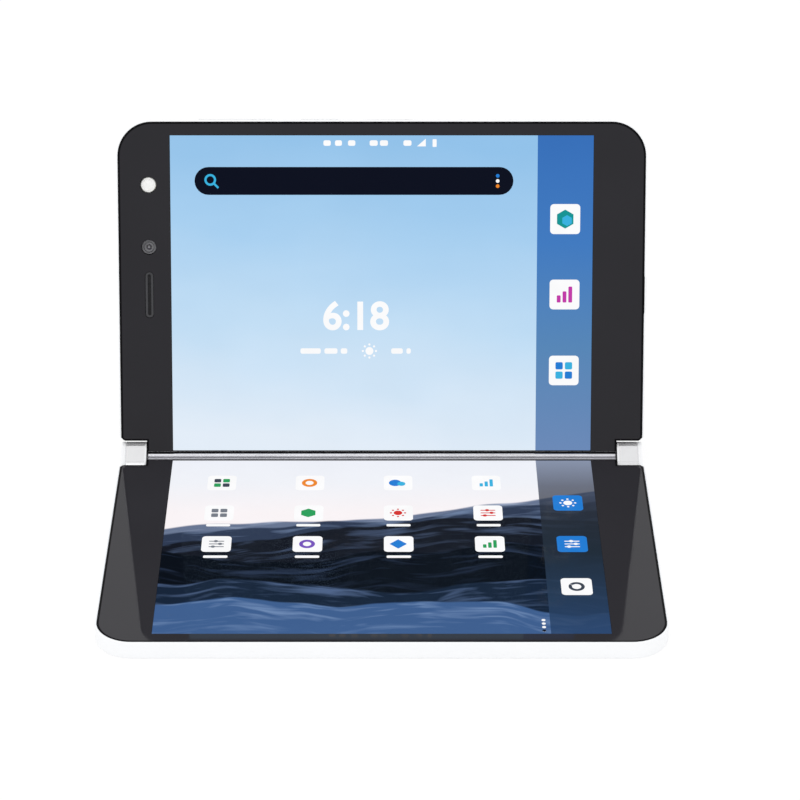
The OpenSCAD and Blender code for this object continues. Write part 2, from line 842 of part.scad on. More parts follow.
module card_reader() {
    color(steel) upper_half() difference() {
        block([tray_x - tray_w / 2 - 1, reader_y, bay_mid - tray_t / 2 - 0.6],
            [tray_x + tray_w / 2 + 1, wall_in - 0.4, mid_z]);
        block([tray_x - tray_w / 2 - 0.15, reader_y + 0.8, bay_mid - tray_t / 2 - 0.12],
            [tray_x + tray_w / 2 + 0.15, reach, bay_mid + tray_t / 2 + 0.12]);
    }
}

module card_tray() {
    color(body_paint) upper_half() difference() {
        union() {
            along_y(reach - 1, 1) translate([tray_x, bay_mid]) slot_shape(tray_head_w, tray_head_t);
            block([tray_x - tray_w / 2, reach - 1 - tray_len, bay_mid - tray_t / 2],
                [tray_x + tray_w / 2, reach - 0.5, bay_mid + tray_t / 2]);
        }
        block([tray_x - 4.4, reach - 3 - 12.3, bay_mid - tray_t / 2 + 0.2],
            [tray_x + 4.4, reach - 3, bay_mid + cut]);
        along_y(reach - 1.6, 3) translate([tray_x + tray_head_w / 2 - 1.5, bay_mid])
            circle(eject_r);
    }
}

module key_flex() {
    color(copper_orange) upper_half() {
        block([rail_x0, rail_y + rail_t, bay_mid - key_t / 2],
            [rail_x1, rail_y + rail_t + flex_t, bay_mid + key_t / 2]);
        for (x = [rocker_x - rocker_len / 4, rocker_x + rocker_len / 4, power_x])
            along_y(dome_y, dome_h) translate([x, bay_mid]) circle(key_t / 2);
    }
}

module fingerprint_sensor() {
    color(dark_grey) upper_half() {
        along_y(wall_in - 0.2, wall_t + 0.1) translate([finger_x, bay_mid]) slot_shape(finger_len, key_t);
        along_y(wall_in - 0.7, 0.5) translate([finger_x, bay_mid])
            square([finger_len + 1.5, key_t + 0.5], center = true);
    }
}

// Key with its flange behind the wall, as wide as len
module key_body(x, len) {
    along_y(key_flange_y, reach + key_out - key_flange_y) translate([x, bay_mid])
        slot_shape(len, key_t);
    along_y(key_flange_y, key_flange_t) translate([x, bay_mid])
        square([len + 0.8, key_t + 0.3], center = true);
}

module power_button() {
    color(body_paint) upper_half() key_body(power_x, power_len);
}

// The rocker tilts on a round rib at the middle of its flange
module volume_rocker() {
    color(body_paint) upper_half() {
        key_body(rocker_x, rocker_len);
        translate([rocker_x, key_flange_y, bay_mid - key_t / 2])
            cylinder(r = rocker_rib_r, h = key_t);
    }
}

// Hinges

// Tooth flank: half angle of a tooth at radius r
function inv(a) = tan(a) * 180 / PI - a;
function tooth_half(r, base_r) =
    90 / gear_teeth * (1 - gear_play) + inv(gear_pressure) - inv(acos(min(1, base_r / r)));

module gear_shape(phase) {
    m = 2 * pitch_r / gear_teeth;
    base_r = pitch_r * cos(gear_pressure);
    root_r = pitch_r - 1.2 * m;
    tip_r = pitch_r + 0.9 * m;
    radii = [for (i = [0:3]) base_r + (tip_r - base_r) * i / 3];
    polygon([for (k = [0:gear_teeth - 1]) let (mid = phase + k * 360 / gear_teeth) each concat(
        [root_r * [cos(mid - tooth_half(base_r, base_r)), sin(mid - tooth_half(base_r, base_r))]],
        [for (r = radii) r * [cos(mid - tooth_half(r, base_r)), sin(mid - tooth_half(r, base_r))]],
        [for (i = [3:-1:0]) let (r = radii[i])
            r * [cos(mid + tooth_half(r, base_r)), sin(mid + tooth_half(r, base_r))]],
        [root_r * [cos(mid + tooth_half(base_r, base_r)), sin(mid + tooth_half(base_r, base_r))]])]);
}

// Stadium that spans both shafts
module link_shape(r) {
    for (y = [0, axis_gap]) translate([y, 0]) circle(r);
    translate([0, -r]) square([axis_gap, 2 * r]);
}

module housing() {
    difference() {
        along_x(housing_x, housing_len) link_shape(top);
        along_x(cavity_x, housing_len) link_shape(cavity_r);
        along_x(housing_x - cut, 2 * cut + housing_wall) for (y = [0, axis_gap])
            translate([y, 0]) circle(shaft_r + run_gap);
        along_x(housing_x + 0.2, 2 * cut) for (y = [1, 2]) translate([y * gear_step, 0]) circle(pin_r);
    }
}

module cap() {
    flat = cap_t - cap_round;
    along_x(housing_end, flat) link_shape(top);
    for (y = [0, axis_gap]) translate([housing_end + flat, y, 0]) rotate([0, 90, 0])
        rotate_extrude() cap_rim();
    translate([housing_end + flat, axis_gap, 0]) rotate([90, 0, 0]) linear_extrude(axis_gap)
        for (flip = [0, 1]) mirror([0, flip]) rotate([0, 0, 90]) mirror([0, 1]) cap_rim();
    along_x(housing_end - plug_len, plug_len + 0.1) difference() {
        link_shape(cavity_r - glue_gap);
        link_shape(cavity_r - glue_gap - 0.4);
    }
}

// Half section of the cap's rounded face: radius along X, rise along Y
module cap_rim() {
    square([top - cap_round, cap_round]);
    intersection() {
        translate([top - cap_round, 0]) circle(cap_round);
        square([top, cap_round]);
    }
}

module shaft(y, phase) {
    translate([0, y, 0]) difference() {
        union() {
            along_x(shaft_x, gear_x - shaft_x) circle(shaft_r);
            along_x(gear_x, gear_w) gear_shape(phase);
            along_x(gear_x, journal_end - gear_x) circle(journal_r);
        }
        along_x(shaft_x - cut, journal_end - shaft_x + 2 * cut) circle(shaft_bore_r);
    }
}

module idler(place) {
    translate([0, place * gear_step, 0]) along_x(gear_x + 0.05, gear_w - 0.1) difference() {
        gear_shape(place == 1 ? 180 / gear_teeth : 0);
        circle(pin_r + run_gap);
    }
}

module idler_pins() {
    for (place = [1, 2]) translate([0, place * gear_step, 0])
        along_x(housing_x + 0.2, clip_x + 0.5 - housing_x - 0.2) circle(pin_r);
}

module friction_clip() {
    difference() {
        along_x(clip_x, clip_t) difference() {
            link_shape(cavity_r - glue_gap);
            for (y = [0, axis_gap]) translate([y, 0]) circle(journal_r + run_gap);
            for (end = [0, 1]) translate([end * axis_gap + (2 * end - 1) * top / 2, 0])
                square([top, clip_slit], center = true);
        }
        along_x(clip_x - cut, 0.5 + cut) for (y = [1, 2]) translate([y * gear_step, 0]) circle(pin_r);
    }
}

module left_housing() {
    color(body_paint) hinge_spot(-1) housing();
}

module left_cap() {
    color(body_paint) hinge_spot(-1) cap();
}

module left_lower_shaft() {
    color(steel) hinge_spot(-1) shaft(0, 0);
}

module left_upper_shaft() {
    color(steel) hinge_spot(-1) shaft(axis_gap, 180 / gear_teeth);
}

module left_idler_a() {
    color(gold) hinge_spot(-1) idler(1);
}

module left_idler_b() {
    color(gold) hinge_spot(-1) idler(2);
}

module left_idler_pins() {
    color(steel) hinge_spot(-1) idler_pins();
}

module left_friction_clip() {
    color(mid_grey) hinge_spot(-1) friction_clip();
}

// Signal cable that runs out of one shaft's bore, across the cap and back into the other
module hinge_cable() {
    turn_x = journal_end + 0.2;
    color(copper_orange) hinge_spot(-1) {
        for (y = [0, axis_gap]) translate([0, y, 0])
            along_x(cable_end, turn_x - cable_end) circle(cable_r);
        translate([turn_x, cable_turn, 0]) rotate([0, 0, -90]) rotate_extrude(angle = 90)
            translate([cable_turn, 0]) circle(cable_r);
        translate([turn_x, axis_gap - cable_turn, 0]) rotate_extrude(angle = 90)
            translate([cable_turn, 0]) circle(cable_r);
        translate([turn_x + cable_turn, cable_turn, 0]) rotate([-90, 0, 0])
            cylinder(r = cable_r, h = axis_gap - 2 * cable_turn);
    }
}

module right_housing() {
    color(body_paint) hinge_spot(1) housing();
}

module right_cap() {
    color(body_paint) hinge_spot(1) cap();
}

module right_lower_shaft() {
    color(steel) hinge_spot(1) shaft(0, 0);
}

module right_upper_shaft() {
    color(steel) hinge_spot(1) shaft(axis_gap, 180 / gear_teeth);
}

module right_idler_a() {
    color(gold) hinge_spot(1) idler(1);
}

module right_idler_b() {
    color(gold) hinge_spot(1) idler(2);
}

module right_idler_pins() {
    color(steel) hinge_spot(1) idler_pins();
}

module right_friction_clip() {
    color(mid_grey) hinge_spot(1) friction_clip();
}

lower_frame();
lower_hinge_bar();
lower_cover_glass();
lower_bezel();
lower_display();
lower_display_flex();
lower_back_glass();
lower_battery();
lower_board();
lower_screws();
lower_lead();
haptic_motor();
upper_frame();
upper_hinge_bar();
upper_cover_glass();
upper_bezel();
upper_display();
upper_display_flex();
upper_back_glass();
upper_battery();
main_board();
upper_screws();
upper_lead();
main_shield();
camera_body();
camera_ring();
camera_lens();
flash_lens();
flash_led();
earpiece_insert();
earpiece_speaker();
socket_shell();
socket_tongue();
socket_collar();
socket_flex();
card_reader();
key_flex();
fingerprint_sensor();
card_tray();
power_button();
volume_rocker();
left_housing();
left_cap();
left_lower_shaft();
left_upper_shaft();
left_idler_a();
left_idler_b();
left_idler_pins();
left_friction_clip();
hinge_cable();
right_housing();
right_cap();
right_lower_shaft();
right_upper_shaft();
right_idler_a();
right_idler_b();
right_idler_pins();
right_friction_clip();
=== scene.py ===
# Looks for the folding phone: two rigid halves with a screen each, standing open on geared hinges.
import json
import math
from types import SimpleNamespace
import bmesh
import bpy
from mathutils import Matrix, Vector


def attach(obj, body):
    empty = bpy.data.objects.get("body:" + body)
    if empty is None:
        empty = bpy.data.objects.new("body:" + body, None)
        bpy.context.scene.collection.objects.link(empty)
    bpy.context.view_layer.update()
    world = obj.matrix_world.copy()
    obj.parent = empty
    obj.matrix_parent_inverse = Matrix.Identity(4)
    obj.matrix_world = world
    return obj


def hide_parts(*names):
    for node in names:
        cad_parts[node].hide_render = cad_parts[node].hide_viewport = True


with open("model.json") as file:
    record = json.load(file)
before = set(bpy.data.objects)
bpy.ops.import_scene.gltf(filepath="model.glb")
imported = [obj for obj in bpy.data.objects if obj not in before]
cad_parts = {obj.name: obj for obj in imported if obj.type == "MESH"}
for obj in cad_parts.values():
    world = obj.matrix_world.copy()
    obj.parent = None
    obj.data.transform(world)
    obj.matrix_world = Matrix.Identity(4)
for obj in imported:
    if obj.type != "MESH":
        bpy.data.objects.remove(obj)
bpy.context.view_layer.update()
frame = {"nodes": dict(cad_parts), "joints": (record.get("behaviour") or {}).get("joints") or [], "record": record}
mm = 0.001
print("frame loaded:", len(frame["nodes"]), "nodes")

jointNamed = {joint["name"]: joint for joint in frame["joints"]}
mountNamed = {mount["name"]: mount for mount in frame["record"]["mounts"]}
lowerShaft = Vector((0, *jointNamed["left_hinge_turn"]["pos_m"][1:]))
upperShaft = Vector((0, *jointNamed["upper_half_turn"]["pos_m"][1:]))
upperNormal = -Vector(mountNamed["upper_back_face"]["axis"]).normalized()
shaftGap = (upperShaft - lowerShaft).length / mm


def axesAt(origin, xAxis, zAxis):
    xAxis, zAxis = Vector(xAxis), Vector(zAxis)
    turn = Matrix((xAxis, zAxis.cross(xAxis), zAxis)).transposed().to_4x4()
    return Matrix.Translation(origin) @ turn @ Matrix.Scale(mm, 4)


# Spaces in millimetres. Half: X along the shaft, Y to the far edge, Z out of the screen.
lowerSpace = axesAt(lowerShaft, (-1, 0, 0), (0, 0, 1))
upperSpace = axesAt(upperShaft, (1, 0, 0), upperNormal)
# Lower screen: X to the viewer's right, Y up the picture. The upper screen's is that of its half.
lowerScreenSpace = axesAt(lowerShaft, (1, 0, 0), (0, 0, 1))
# Hinge: X outwards along the shafts, Y from the lower shaft to the upper one.
linkAxis = (upperShaft - lowerShaft).normalized()
rightHinge = axesAt(lowerShaft, (1, 0, 0), Vector((1, 0, 0)).cross(linkAxis))
leftHinge = Matrix.Scale(-1, 4, (1, 0, 0)) @ rightHinge
# Where a piece is drawn, and the body that it rides on
upperHalf = (upperSpace, "upper_half")
halves = {"lower": (lowerSpace, "lower_half"), "upper": upperHalf}
hinges = {"left": (leftHinge, "left_hinge"), "right": (rightHinge, "right_hinge")}


def nodeBox(node, space=upperSpace):
    inside = space.inverted()
    points = [inside @ vert.co for vert in frame["nodes"][node].data.vertices]
    low = Vector([min(places) for places in zip(*points)])
    high = Vector([max(places) for places in zip(*points)])
    return SimpleNamespace(low=low, high=high, middle=(low + high) / 2, size=high - low)


frameBox = nodeBox("lower_frame", lowerSpace)
glass = nodeBox("lower_cover_glass", lowerSpace)
screen = nodeBox("lower_display", lowerSpace)
phone = {
    "width": frameBox.size.x,
    "reach": frameBox.high.y,
    "top": frameBox.high.z,
    "barHalf": nodeBox("lower_hinge_bar", lowerSpace).high.x,
    "cornerRadius": 9.9,
    "notchDepth": 3.2,  # from the shaft's axis
    "notchChamfer": 1.1,
    "notchRim": 0.1,  # the glasses end this far behind the notch's edge
}


# Mesh helpers
def arcPoints(x, y, radius, start, end, steps):
    angles = [math.radians(start + (end - start) * step / steps) for step in range(steps + 1)]
    return [(x + radius * math.cos(angle), y + radius * math.sin(angle)) for angle in angles]


def circlePoints(x, y, radius, steps=48, turn=0):
    return arcPoints(x, y, radius, turn, turn + 360 - 360 / steps, steps - 1)


def slotPoints(x, y, length, width, steps=12):
    reach = (length - width) / 2
    return (arcPoints(x + reach, y, width / 2, -90, 90, steps)
            + arcPoints(x - reach, y, width / 2, 90, 270, steps))


def boxPoints(x, y, width, height, corner=0.0, steps=6):
    if not corner:
        return [(x + sx * width / 2, y + sy * height / 2)
                for sx, sy in ((-1, -1), (1, -1), (1, 1), (-1, 1))]
    points = []
    for turn, (sx, sy) in enumerate(((1, 1), (-1, 1), (-1, -1), (1, -1))):
        points += arcPoints(x + sx * (width / 2 - corner), y + sy * (height / 2 - corner), corner,
                            90 * turn, 90 * turn + 90, steps)
    return points


def halfOutline(inset, grow, start, chamfer=None, steps=20):
    # Outline of a half, moved in from its sides by inset and out round the notches by grow
    side = phone["width"] / 2 - inset
    far = phone["reach"] - inset
    radius = phone["cornerRadius"] - inset
    barX = phone["barHalf"] - grow
    notchY = phone["notchDepth"] + grow
    chamferX = phone["width"] / 2 - (chamfer or phone["notchChamfer"])
    right = [(barX, start), (barX, notchY), (chamferX, notchY), (side, notchY + side - chamferX)]
    left = [(-x, y) for x, y in reversed(right)]
    return (right + arcPoints(side - radius, far - radius, radius, 0, 90, steps)
            + arcPoints(radius - side, far - radius, radius, 90, 180, steps) + left)


def flat(z):
    return lambda x, y: (x, y, z)


def acrossX(x):
    return lambda y, z: (x, y, z)


def acrossY(y):
    return lambda x, z: (x, y, z)


def paintFaces(faces, finish):
    for face in faces:
        face.material_index = finish
    return faces


def addRing(bm, points, place):
    return [bm.verts.new(place(x, y)) for x, y in points]


def joinRings(bm, rings, finish=0):
    faces = []
    for first, second in zip(rings, rings[1:]):
        for step in range(len(first)):
            after = (step + 1) % len(first)
            faces.append(bm.faces.new((first[step], first[after], second[after], second[step])))
    return paintFaces(faces, finish)


def fillRings(bm, rings, finish=0):
    # One ring gives one face, more of them give a face with holes
    if len(rings) == 1:
        return paintFaces([bm.faces.new(rings[0])], finish)
    edges = []
    for ring in rings:
        for vert, after in zip(ring, ring[1:] + ring[:1]):
            edges.append(bm.edges.get((vert, after)) or bm.edges.new((vert, after)))
    filled = bmesh.ops.triangle_fill(bm, use_beauty=True, use_dissolve=False, edges=edges)
    return paintFaces([part for part in filled["geom"] if isinstance(part, bmesh.types.BMFace)], finish)


def addTube(bm, points, first, last, finish=0):
    rings = [addRing(bm, points, place) for place in (first, last)]
    joinRings(bm, rings, finish)
    return rings


def addLoft(bm, rings):
    # Walls from ring to ring, closed at both ends
    joinRings(bm, rings)
    fillRings(bm, rings[:1])
    fillRings(bm, rings[-1:])


def addPlate(bm, outline, bottom, top, finish=0, holes=()):
    tubes = [addTube(bm, points, flat(bottom), flat(top), finish) for points in (outline, *holes)]
    fillRings(bm, [low for low, high in tubes], finish)
    return fillRings(bm, [high for low, high in tubes], finish)


def addLathe(bm, profile, middle, steps=64):
    # Profile of (radius, height) pairs round Z; where it starts or ends at zero it has a pole
    rings = [addRing(bm, circlePoints(middle.x, middle.y, radius, steps), flat(z))
             for radius, z in profile if radius]
    joinRings(bm, rings)
    for ring, (radius, z) in ((rings[0], profile[0]), (rings[-1], profile[-1])):
        if not radius:
            pole = bm.verts.new((middle.x, middle.y, z))
            for vert, after in zip(ring, ring[1:] + ring[:1]):
                bm.faces.new((vert, after, pole))


def addObject(name, data):
    made = bpy.data.objects.new(name, data)
    bpy.context.scene.collection.objects.link(made)
    return made


def toMesh(name, bm):
    mesh = bpy.data.meshes.new(name)
    bm.to_mesh(mesh)
    bm.free()
    return mesh


finishFor = {}


def finishPiece(name, mesh, body, finishes, replaces=(), slot=None, crease=35, bevel=None):
    # The slot argument is not used
    slot = slot or finishes[0]
    mesh.shade_smooth()
    mesh.set_sharp_from_angle(angle=math.radians(crease))
    piece = addObject(name, mesh)
    for finish in finishes:
        mesh.materials.append(finishFor[finish])
    if bevel:
        rounding = piece.modifiers.new("edge rounding", "BEVEL")
        rounding.width = bevel * mm
        rounding.segments = 3
        rounding.limit_method = "ANGLE"
        rounding.angle_limit = math.radians(50)
        rounding.harden_normals = False
    shading = piece.modifiers.new("even shading", "WEIGHTED_NORMAL")
    shading.mode = "FACE_AREA_WITH_ANGLE"
    shading.keep_sharp = True
    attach(piece, body)
    if replaces:
        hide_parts(*replaces)
    return piece


def newPiece(name, bm, place, finishes, **facts):
    space, body = place
    bmesh.ops.recalc_face_normals(bm, faces=bm.faces)
    mesh = toMesh(name, bm)
    mesh.transform(space)
    if space.determinant() < 0:
        mesh.flip_normals()
    return finishPiece(name, mesh, body, finishes, **facts)


def copyNode(name, node, body, finishes):
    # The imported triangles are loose, so a copy is merged before it is shaded smooth
    bm = bmesh.new()
    bm.from_mesh(frame["nodes"][node].data)
    bmesh.ops.remove_doubles(bm, verts=bm.verts, dist=0.001 * mm)
    return finishPiece(name, toMesh(name, bm), body, finishes, replaces=[node])


# Node helpers
def fillInputs(tree, node, values):
    # Inputs go by name, or by number as at3; a colour has three parts
    for name, value in values.items():
        target = node.inputs[int(name[2:])] if name.startswith("at") else node.inputs[name]
        if isinstance(value, bpy.types.NodeSocket):
            tree.links.new(value, target)
        elif target.type == "RGBA":
            target.default_value = (*value, 1.0)
        else:
            target.default_value = value


def addNode(tree, kind, settings=None, **inputs):
    made = tree.nodes.new(kind if kind.startswith("Geometry") else "ShaderNode" + kind)
    for name, value in (settings or {}).items():
        setattr(made, name, value)
    fillInputs(tree, made, inputs)
    return made.outputs[0]


# Geometry nodes: rounded tiles in columns and rows, for icons, labels, dots, wires and contacts
tileSockets = {"Columns": "Int", "Rows": "Int", "Column step": "Float", "Row step": "Float",
               "Width": "Float", "Height": "Float", "Corner": "Float", "Depth": "Float",
               "Place": "Vector", "Finish": "Material"}
tileLook = {"cornerPoints": 5, "merge": 0.0005}


def tileTree():
    tree = bpy.data.node_groups.new("tiles in rows", "GeometryNodeTree")
    sockets = [tree.interface.new_socket(name, in_out="INPUT", socket_type="NodeSocket" + kind)
               for name, kind in tileSockets.items()]
    tree.interface.new_socket("Geometry", in_out="OUTPUT", socket_type="NodeSocketGeometry")
    given = tree.nodes.new("NodeGroupInput").outputs

    def add(kind, settings=None, **inputs):
        return addNode(tree, "GeometryNode" + kind, settings, **inputs)

    across = add("MeshLine", Count=given["Columns"],
                 Offset=addNode(tree, "CombineXYZ", X=given["Column step"]))
    up = add("MeshLine", Count=given["Rows"], Offset=addNode(tree, "CombineXYZ", Y=given["Row step"]))
    grid = add("RealizeInstances", Geometry=add("InstanceOnPoints", Points=across, Instance=up))
    shape = add("CurvePrimitiveQuadrilateral", Width=given["Width"], Height=given["Height"])
    rounded = add("FilletCurve", {"mode": "POLY"}, Curve=shape, Radius=given["Corner"],
                  Count=tileLook["cornerPoints"])
    face = add("FillCurve", {"mode": "NGONS"}, Curve=rounded)
    joined = tree.nodes.new("GeometryNodeJoinGeometry")
    tree.links.new(add("FlipFaces", Mesh=face), joined.inputs[0])
    tree.links.new(add("ExtrudeMesh", {"mode": "FACES"}, Mesh=face, at3=given["Depth"]),
                   joined.inputs[0])
    solid = add("MergeByDistance", Geometry=joined.outputs[0], Distance=tileLook["merge"])
    copies = add("InstanceOnPoints", Points=grid, Instance=solid)
    placed = add("Transform", Geometry=copies, Translation=given["Place"])
    realized = add("RealizeInstances", Geometry=placed)
    coloured = add("SetMaterial", Geometry=realized, Material=given["Finish"])
    tree.links.new(coloured, tree.nodes.new("NodeGroupOutput").inputs[0])
    return tree, [socket.identifier for socket in sockets]


tiles, tileInput = tileTree()


def takeIn(bm, carrier, finishIndex, move=Matrix.Identity(4)):
    # Adds the mesh that an object evaluates to, and drops the object
    made = bpy.data.meshes.new_from_object(
        carrier.evaluated_get(bpy.context.evaluated_depsgraph_get()))
    made.transform(move)
    known = len(bm.faces)
    bm.from_mesh(made)
    bm.faces.ensure_lookup_table()
    paintFaces(bm.faces[known:], finishIndex)
    carrier.modifiers.clear()
    bpy.data.objects.remove(carrier)
    bpy.data.meshes.remove(made)


def addTiles(bm, finishIndex, finish, middle, size, corner, depth, columns=1, rows=1, step=(0.0, 0.0)):
    carrier = addObject("tile carrier", bpy.data.meshes.new("tile carrier"))
    modifier = carrier.modifiers.new("tiles", "NODES")
    modifier.node_group = tiles
    place = (middle[0] - step[0] * (columns - 1) / 2, middle[1] - step[1] * (rows - 1) / 2, middle[2])
    for socket, value in zip(tileInput, (columns, rows, float(step[0]), float(step[1]), *size, corner,
                                         depth, place, finishFor[finish])):
        modifier[socket] = value
    takeIn(bm, carrier, finishIndex)


# Finishes
def tone(levels):
    parts = [level / 255 for level in levels]
    return tuple(part / 12.92 if part <= 0.04045 else ((part + 0.055) / 1.055) ** 2.4 for part in parts)


def darker(color, share):
    return tuple(part * share for part in color)


def mathNode(tree, operation, first, second=0.0, third=0.0):
    return addNode(tree, "Math", {"operation": operation}, at0=first, at1=second, at2=third)


def spread(tree, factor, low=0.0, high=1.0, fromLow=0.3, fromHigh=0.7):
    return addNode(tree, "MapRange", Value=factor, at1=fromLow, at2=fromHigh, at3=low, at4=high)


def blendTones(tree, factor, first, second):
    mixed = addNode(tree, "Mix", {"data_type": "RGBA"}, at0=factor, at6=first, at7=second)
    return mixed.node.outputs[2]


def noise(tree, place, scale, detail, rough=0.5, bend=0.0):
    return addNode(tree, "TexNoise", Vector=place, Scale=scale, Detail=detail, Roughness=rough,
                   Distortion=bend)


def objectPlace(tree):
    return tree.nodes.new("ShaderNodeTexCoord").outputs["Object"]


def startFinish(name):
    material = bpy.data.materials.new(name)
    material.use_nodes = True
    tree = material.node_tree
    return material, tree, tree.nodes["Principled BSDF"]


def useAsSurface(tree, shader, output):
    tree.nodes.remove(shader)
    tree.links.new(output, tree.nodes["Material Output"].inputs["Surface"])


def surfaceFinish(name, look):
    # Grain in bump and roughness, clouds in colour and gloss; sizes in millimetres
    material, tree, shader = startFinish(name)
    place = objectPlace(tree)
    lain = addNode(tree, "Mapping", Vector=place, Scale=look.get("stretch", (1, 1, 1)))
    grain = noise(tree, lain, 1 / (look["grain"] * mm), 3.0, 0.6)
    cloud = noise(tree, place, 1 / (look["cloud"] * mm), 2.0)
    shade = look.get("shade", darker(look["color"], 0.94))
    rough, vary = look["rough"], look.get("vary", 0.05)
    fillInputs(tree, shader, {
        "Base Color": blendTones(tree, spread(tree, cloud), look["color"], shade),
        "Roughness": spread(tree, mathNode(tree, "ADD", grain, cloud), rough - vary, rough + vary,
                            0.7, 1.3),
        "Normal": addNode(tree, "Bump", Strength=look["bump"], Height=grain,
                          Distance=look.get("height", 0.004) * mm),
        "Metallic": look.get("metal", 0.0),
        "IOR": look.get("ior", 1.45),
        "Coat Weight": look.get("coat", 0.0),
        "Coat Roughness": 0.05,
        "Coat IOR": 1.45,
    })
    return material


surfaceLooks = {
    "frame_white": {
        "color": (0.955, 0.962, 0.975), "shade": (0.94, 0.949, 0.963), "rough": 0.34, "grain": 0.09,
        "cloud": 20, "bump": 0.15, "height": 0.003, "coat": 0.25},
    "back_glass": {
        "color": (0.86, 0.865, 0.875), "shade": (0.845, 0.85, 0.862), "rough": 0.1, "vary": 0.03,
        "grain": 2.5, "cloud": 25, "bump": 0.03, "height": 0.01, "coat": 0.6},
    "hinge_white": {
        "color": (0.8, 0.8, 0.812), "shade": (0.775, 0.775, 0.788), "rough": 0.2, "vary": 0.04,
        "grain": 0.12, "cloud": 5, "bump": 0.08, "height": 0.003, "metal": 0.6, "coat": 0.2},
    "cover_glass": {
        "color": (0.0155, 0.0148, 0.019), "shade": (0.014, 0.0134, 0.0172), "rough": 0.035,
        "vary": 0.015, "grain": 6, "cloud": 22, "bump": 0.02, "height": 0.01, "ior": 1.3},
    "satin_silver": {
        "color": (0.88, 0.88, 0.9), "shade": (0.84, 0.84, 0.86), "rough": 0.15, "vary": 0.03,
        "grain": 0.08, "cloud": 6, "bump": 0.06, "height": 0.002, "stretch": (0.02, 1, 1),
        "metal": 1.0},
    "steel": {
        "color": (0.62, 0.62, 0.64), "shade": (0.54, 0.54, 0.56), "rough": 0.3, "grain": 0.08,
        "cloud": 3, "bump": 0.3, "metal": 1.0},
    "gear_brass": {
        "color": (0.72, 0.53, 0.24), "shade": (0.62, 0.44, 0.19), "rough": 0.34, "grain": 0.06,
        "cloud": 1.5, "bump": 0.3, "metal": 1.0},
    "battery": {
        "color": (0.035, 0.035, 0.038), "shade": (0.05, 0.05, 0.053), "rough": 0.42, "vary": 0.1,
        "grain": 1.2, "cloud": 14, "bump": 0.5, "height": 0.03},
    "flex": {
        "color": (0.42, 0.17, 0.035), "shade": (0.34, 0.12, 0.025), "rough": 0.32, "grain": 0.3,
        "cloud": 4, "bump": 0.3, "height": 0.01, "stretch": (1, 0.2, 1), "coat": 0.4},
    "dark_plastic": {
        "color": (0.04, 0.04, 0.045), "shade": (0.032, 0.032, 0.036), "rough": 0.5, "vary": 0.08,
        "grain": 0.12, "cloud": 5, "bump": 0.4, "height": 0.006},
    "ear_mesh": {
        "color": (0.013, 0.013, 0.015), "shade": (0.011, 0.011, 0.013), "rough": 0.6, "grain": 0.05,
        "cloud": 2, "bump": 0.3, "metal": 0.3},
    "black_border": {
        "color": (0.012, 0.012, 0.014), "shade": (0.009, 0.009, 0.011), "rough": 0.45, "grain": 0.2,
        "cloud": 10, "bump": 0.3},
    "camera_ring": {
        "color": (0.165, 0.165, 0.175), "shade": (0.145, 0.145, 0.155), "rough": 0.33, "grain": 0.04,
        "cloud": 1.5, "bump": 0.3, "metal": 0.7},
    "lens": {
        "color": (0.006, 0.007, 0.014), "shade": (0.012, 0.008, 0.02), "rough": 0.05, "vary": 0.02,
        "grain": 1, "cloud": 1.2, "bump": 0.02, "coat": 1.0},
    "led": {
        "color": (0.85, 0.68, 0.16), "shade": (0.75, 0.55, 0.1), "rough": 0.45, "grain": 0.1,
        "cloud": 0.8, "bump": 0.5, "height": 0.02},
    # Near-black for the glasses' rounded edges and a strip on the upper bar; on the frame's notch rim and walls it
    # is painted shade
    "black_edge_and_painted_shade": {
        "color": (0.006, 0.006, 0.007), "rough": 0.2, "grain": 1, "cloud": 20, "bump": 0.05,
        "ior": 1.1},
    # Painted shade: grey for the frame's notch walls behind the hinge block, in place of the frame's white
    "painted_shade_notch_wall": {
        "color": (0.22, 0.22, 0.23), "rough": 0.5, "grain": 0.1, "cloud": 4, "bump": 0.2},
}
# Finishes that differ from another one in a few settings
for name, base, change in (
        # Painted reflection: the lower half's glass is a lighter copy of the same glass
        ("lower_cover_glass", "cover_glass",
         {"color": (0.0305, 0.0295, 0.0345), "shade": (0.0285, 0.0275, 0.0322)}),
        # Painted shade for the hinge bars: darker copies of the satin silver
        ("painted_shade_silver", "satin_silver",
         {"color": (0.33, 0.33, 0.36), "shade": (0.30, 0.30, 0.33), "rough": 0.3}),
        ("painted_half_shade_silver", "satin_silver",
         {"color": (0.52, 0.52, 0.55), "shade": (0.48, 0.48, 0.51), "rough": 0.25}),
        # Painted glint: a lighter copy of the ring's grey for the lens's middle
        ("painted_glint_lens_centre", "camera_ring", {"color": (0.3, 0.3, 0.31), "shade": (0.26, 0.26, 0.27)})):
    surfaceLooks[name] = dict(surfaceLooks[base], **change)
for name, look in surfaceLooks.items():
    finishFor[name] = surfaceFinish(name.replace("_", " "), look)

# The flash lens glows a little though it is no lamp: painted light
flashLook = {"color": (0.88, 0.88, 0.87), "shade": (0.82, 0.82, 0.80), "cloud": 900.0,
             "rough": (0.15, 0.3), "coat": 0.5, "glow": (1.0, 1.0, 0.97), "paintedGlowStrength": 0.14}


def flashFinish():
    # Milky lens with a faint painted glow of its own
    material, tree, shader = startFinish("flash lens")
    cloud = noise(tree, objectPlace(tree), flashLook["cloud"], 3.0)
    fillInputs(tree, shader, {
        "Base Color": blendTones(tree, spread(tree, cloud), flashLook["color"], flashLook["shade"]),
        "Roughness": spread(tree, cloud, *flashLook["rough"]),
        "Coat Weight": flashLook["coat"],
        "Emission Color": flashLook["glow"],
        "Emission Strength": flashLook["paintedGlowStrength"],
    })
    return material


boardLook = {"cell": 1.6, "blot": 2.0, "mask": (0.012, 0.085, 0.055), "pale": (0.02, 0.12, 0.075),
             "track": (0.05, 0.2, 0.11), "rough": (0.25, 0.4), "bump": 0.3, "height": 0.02}


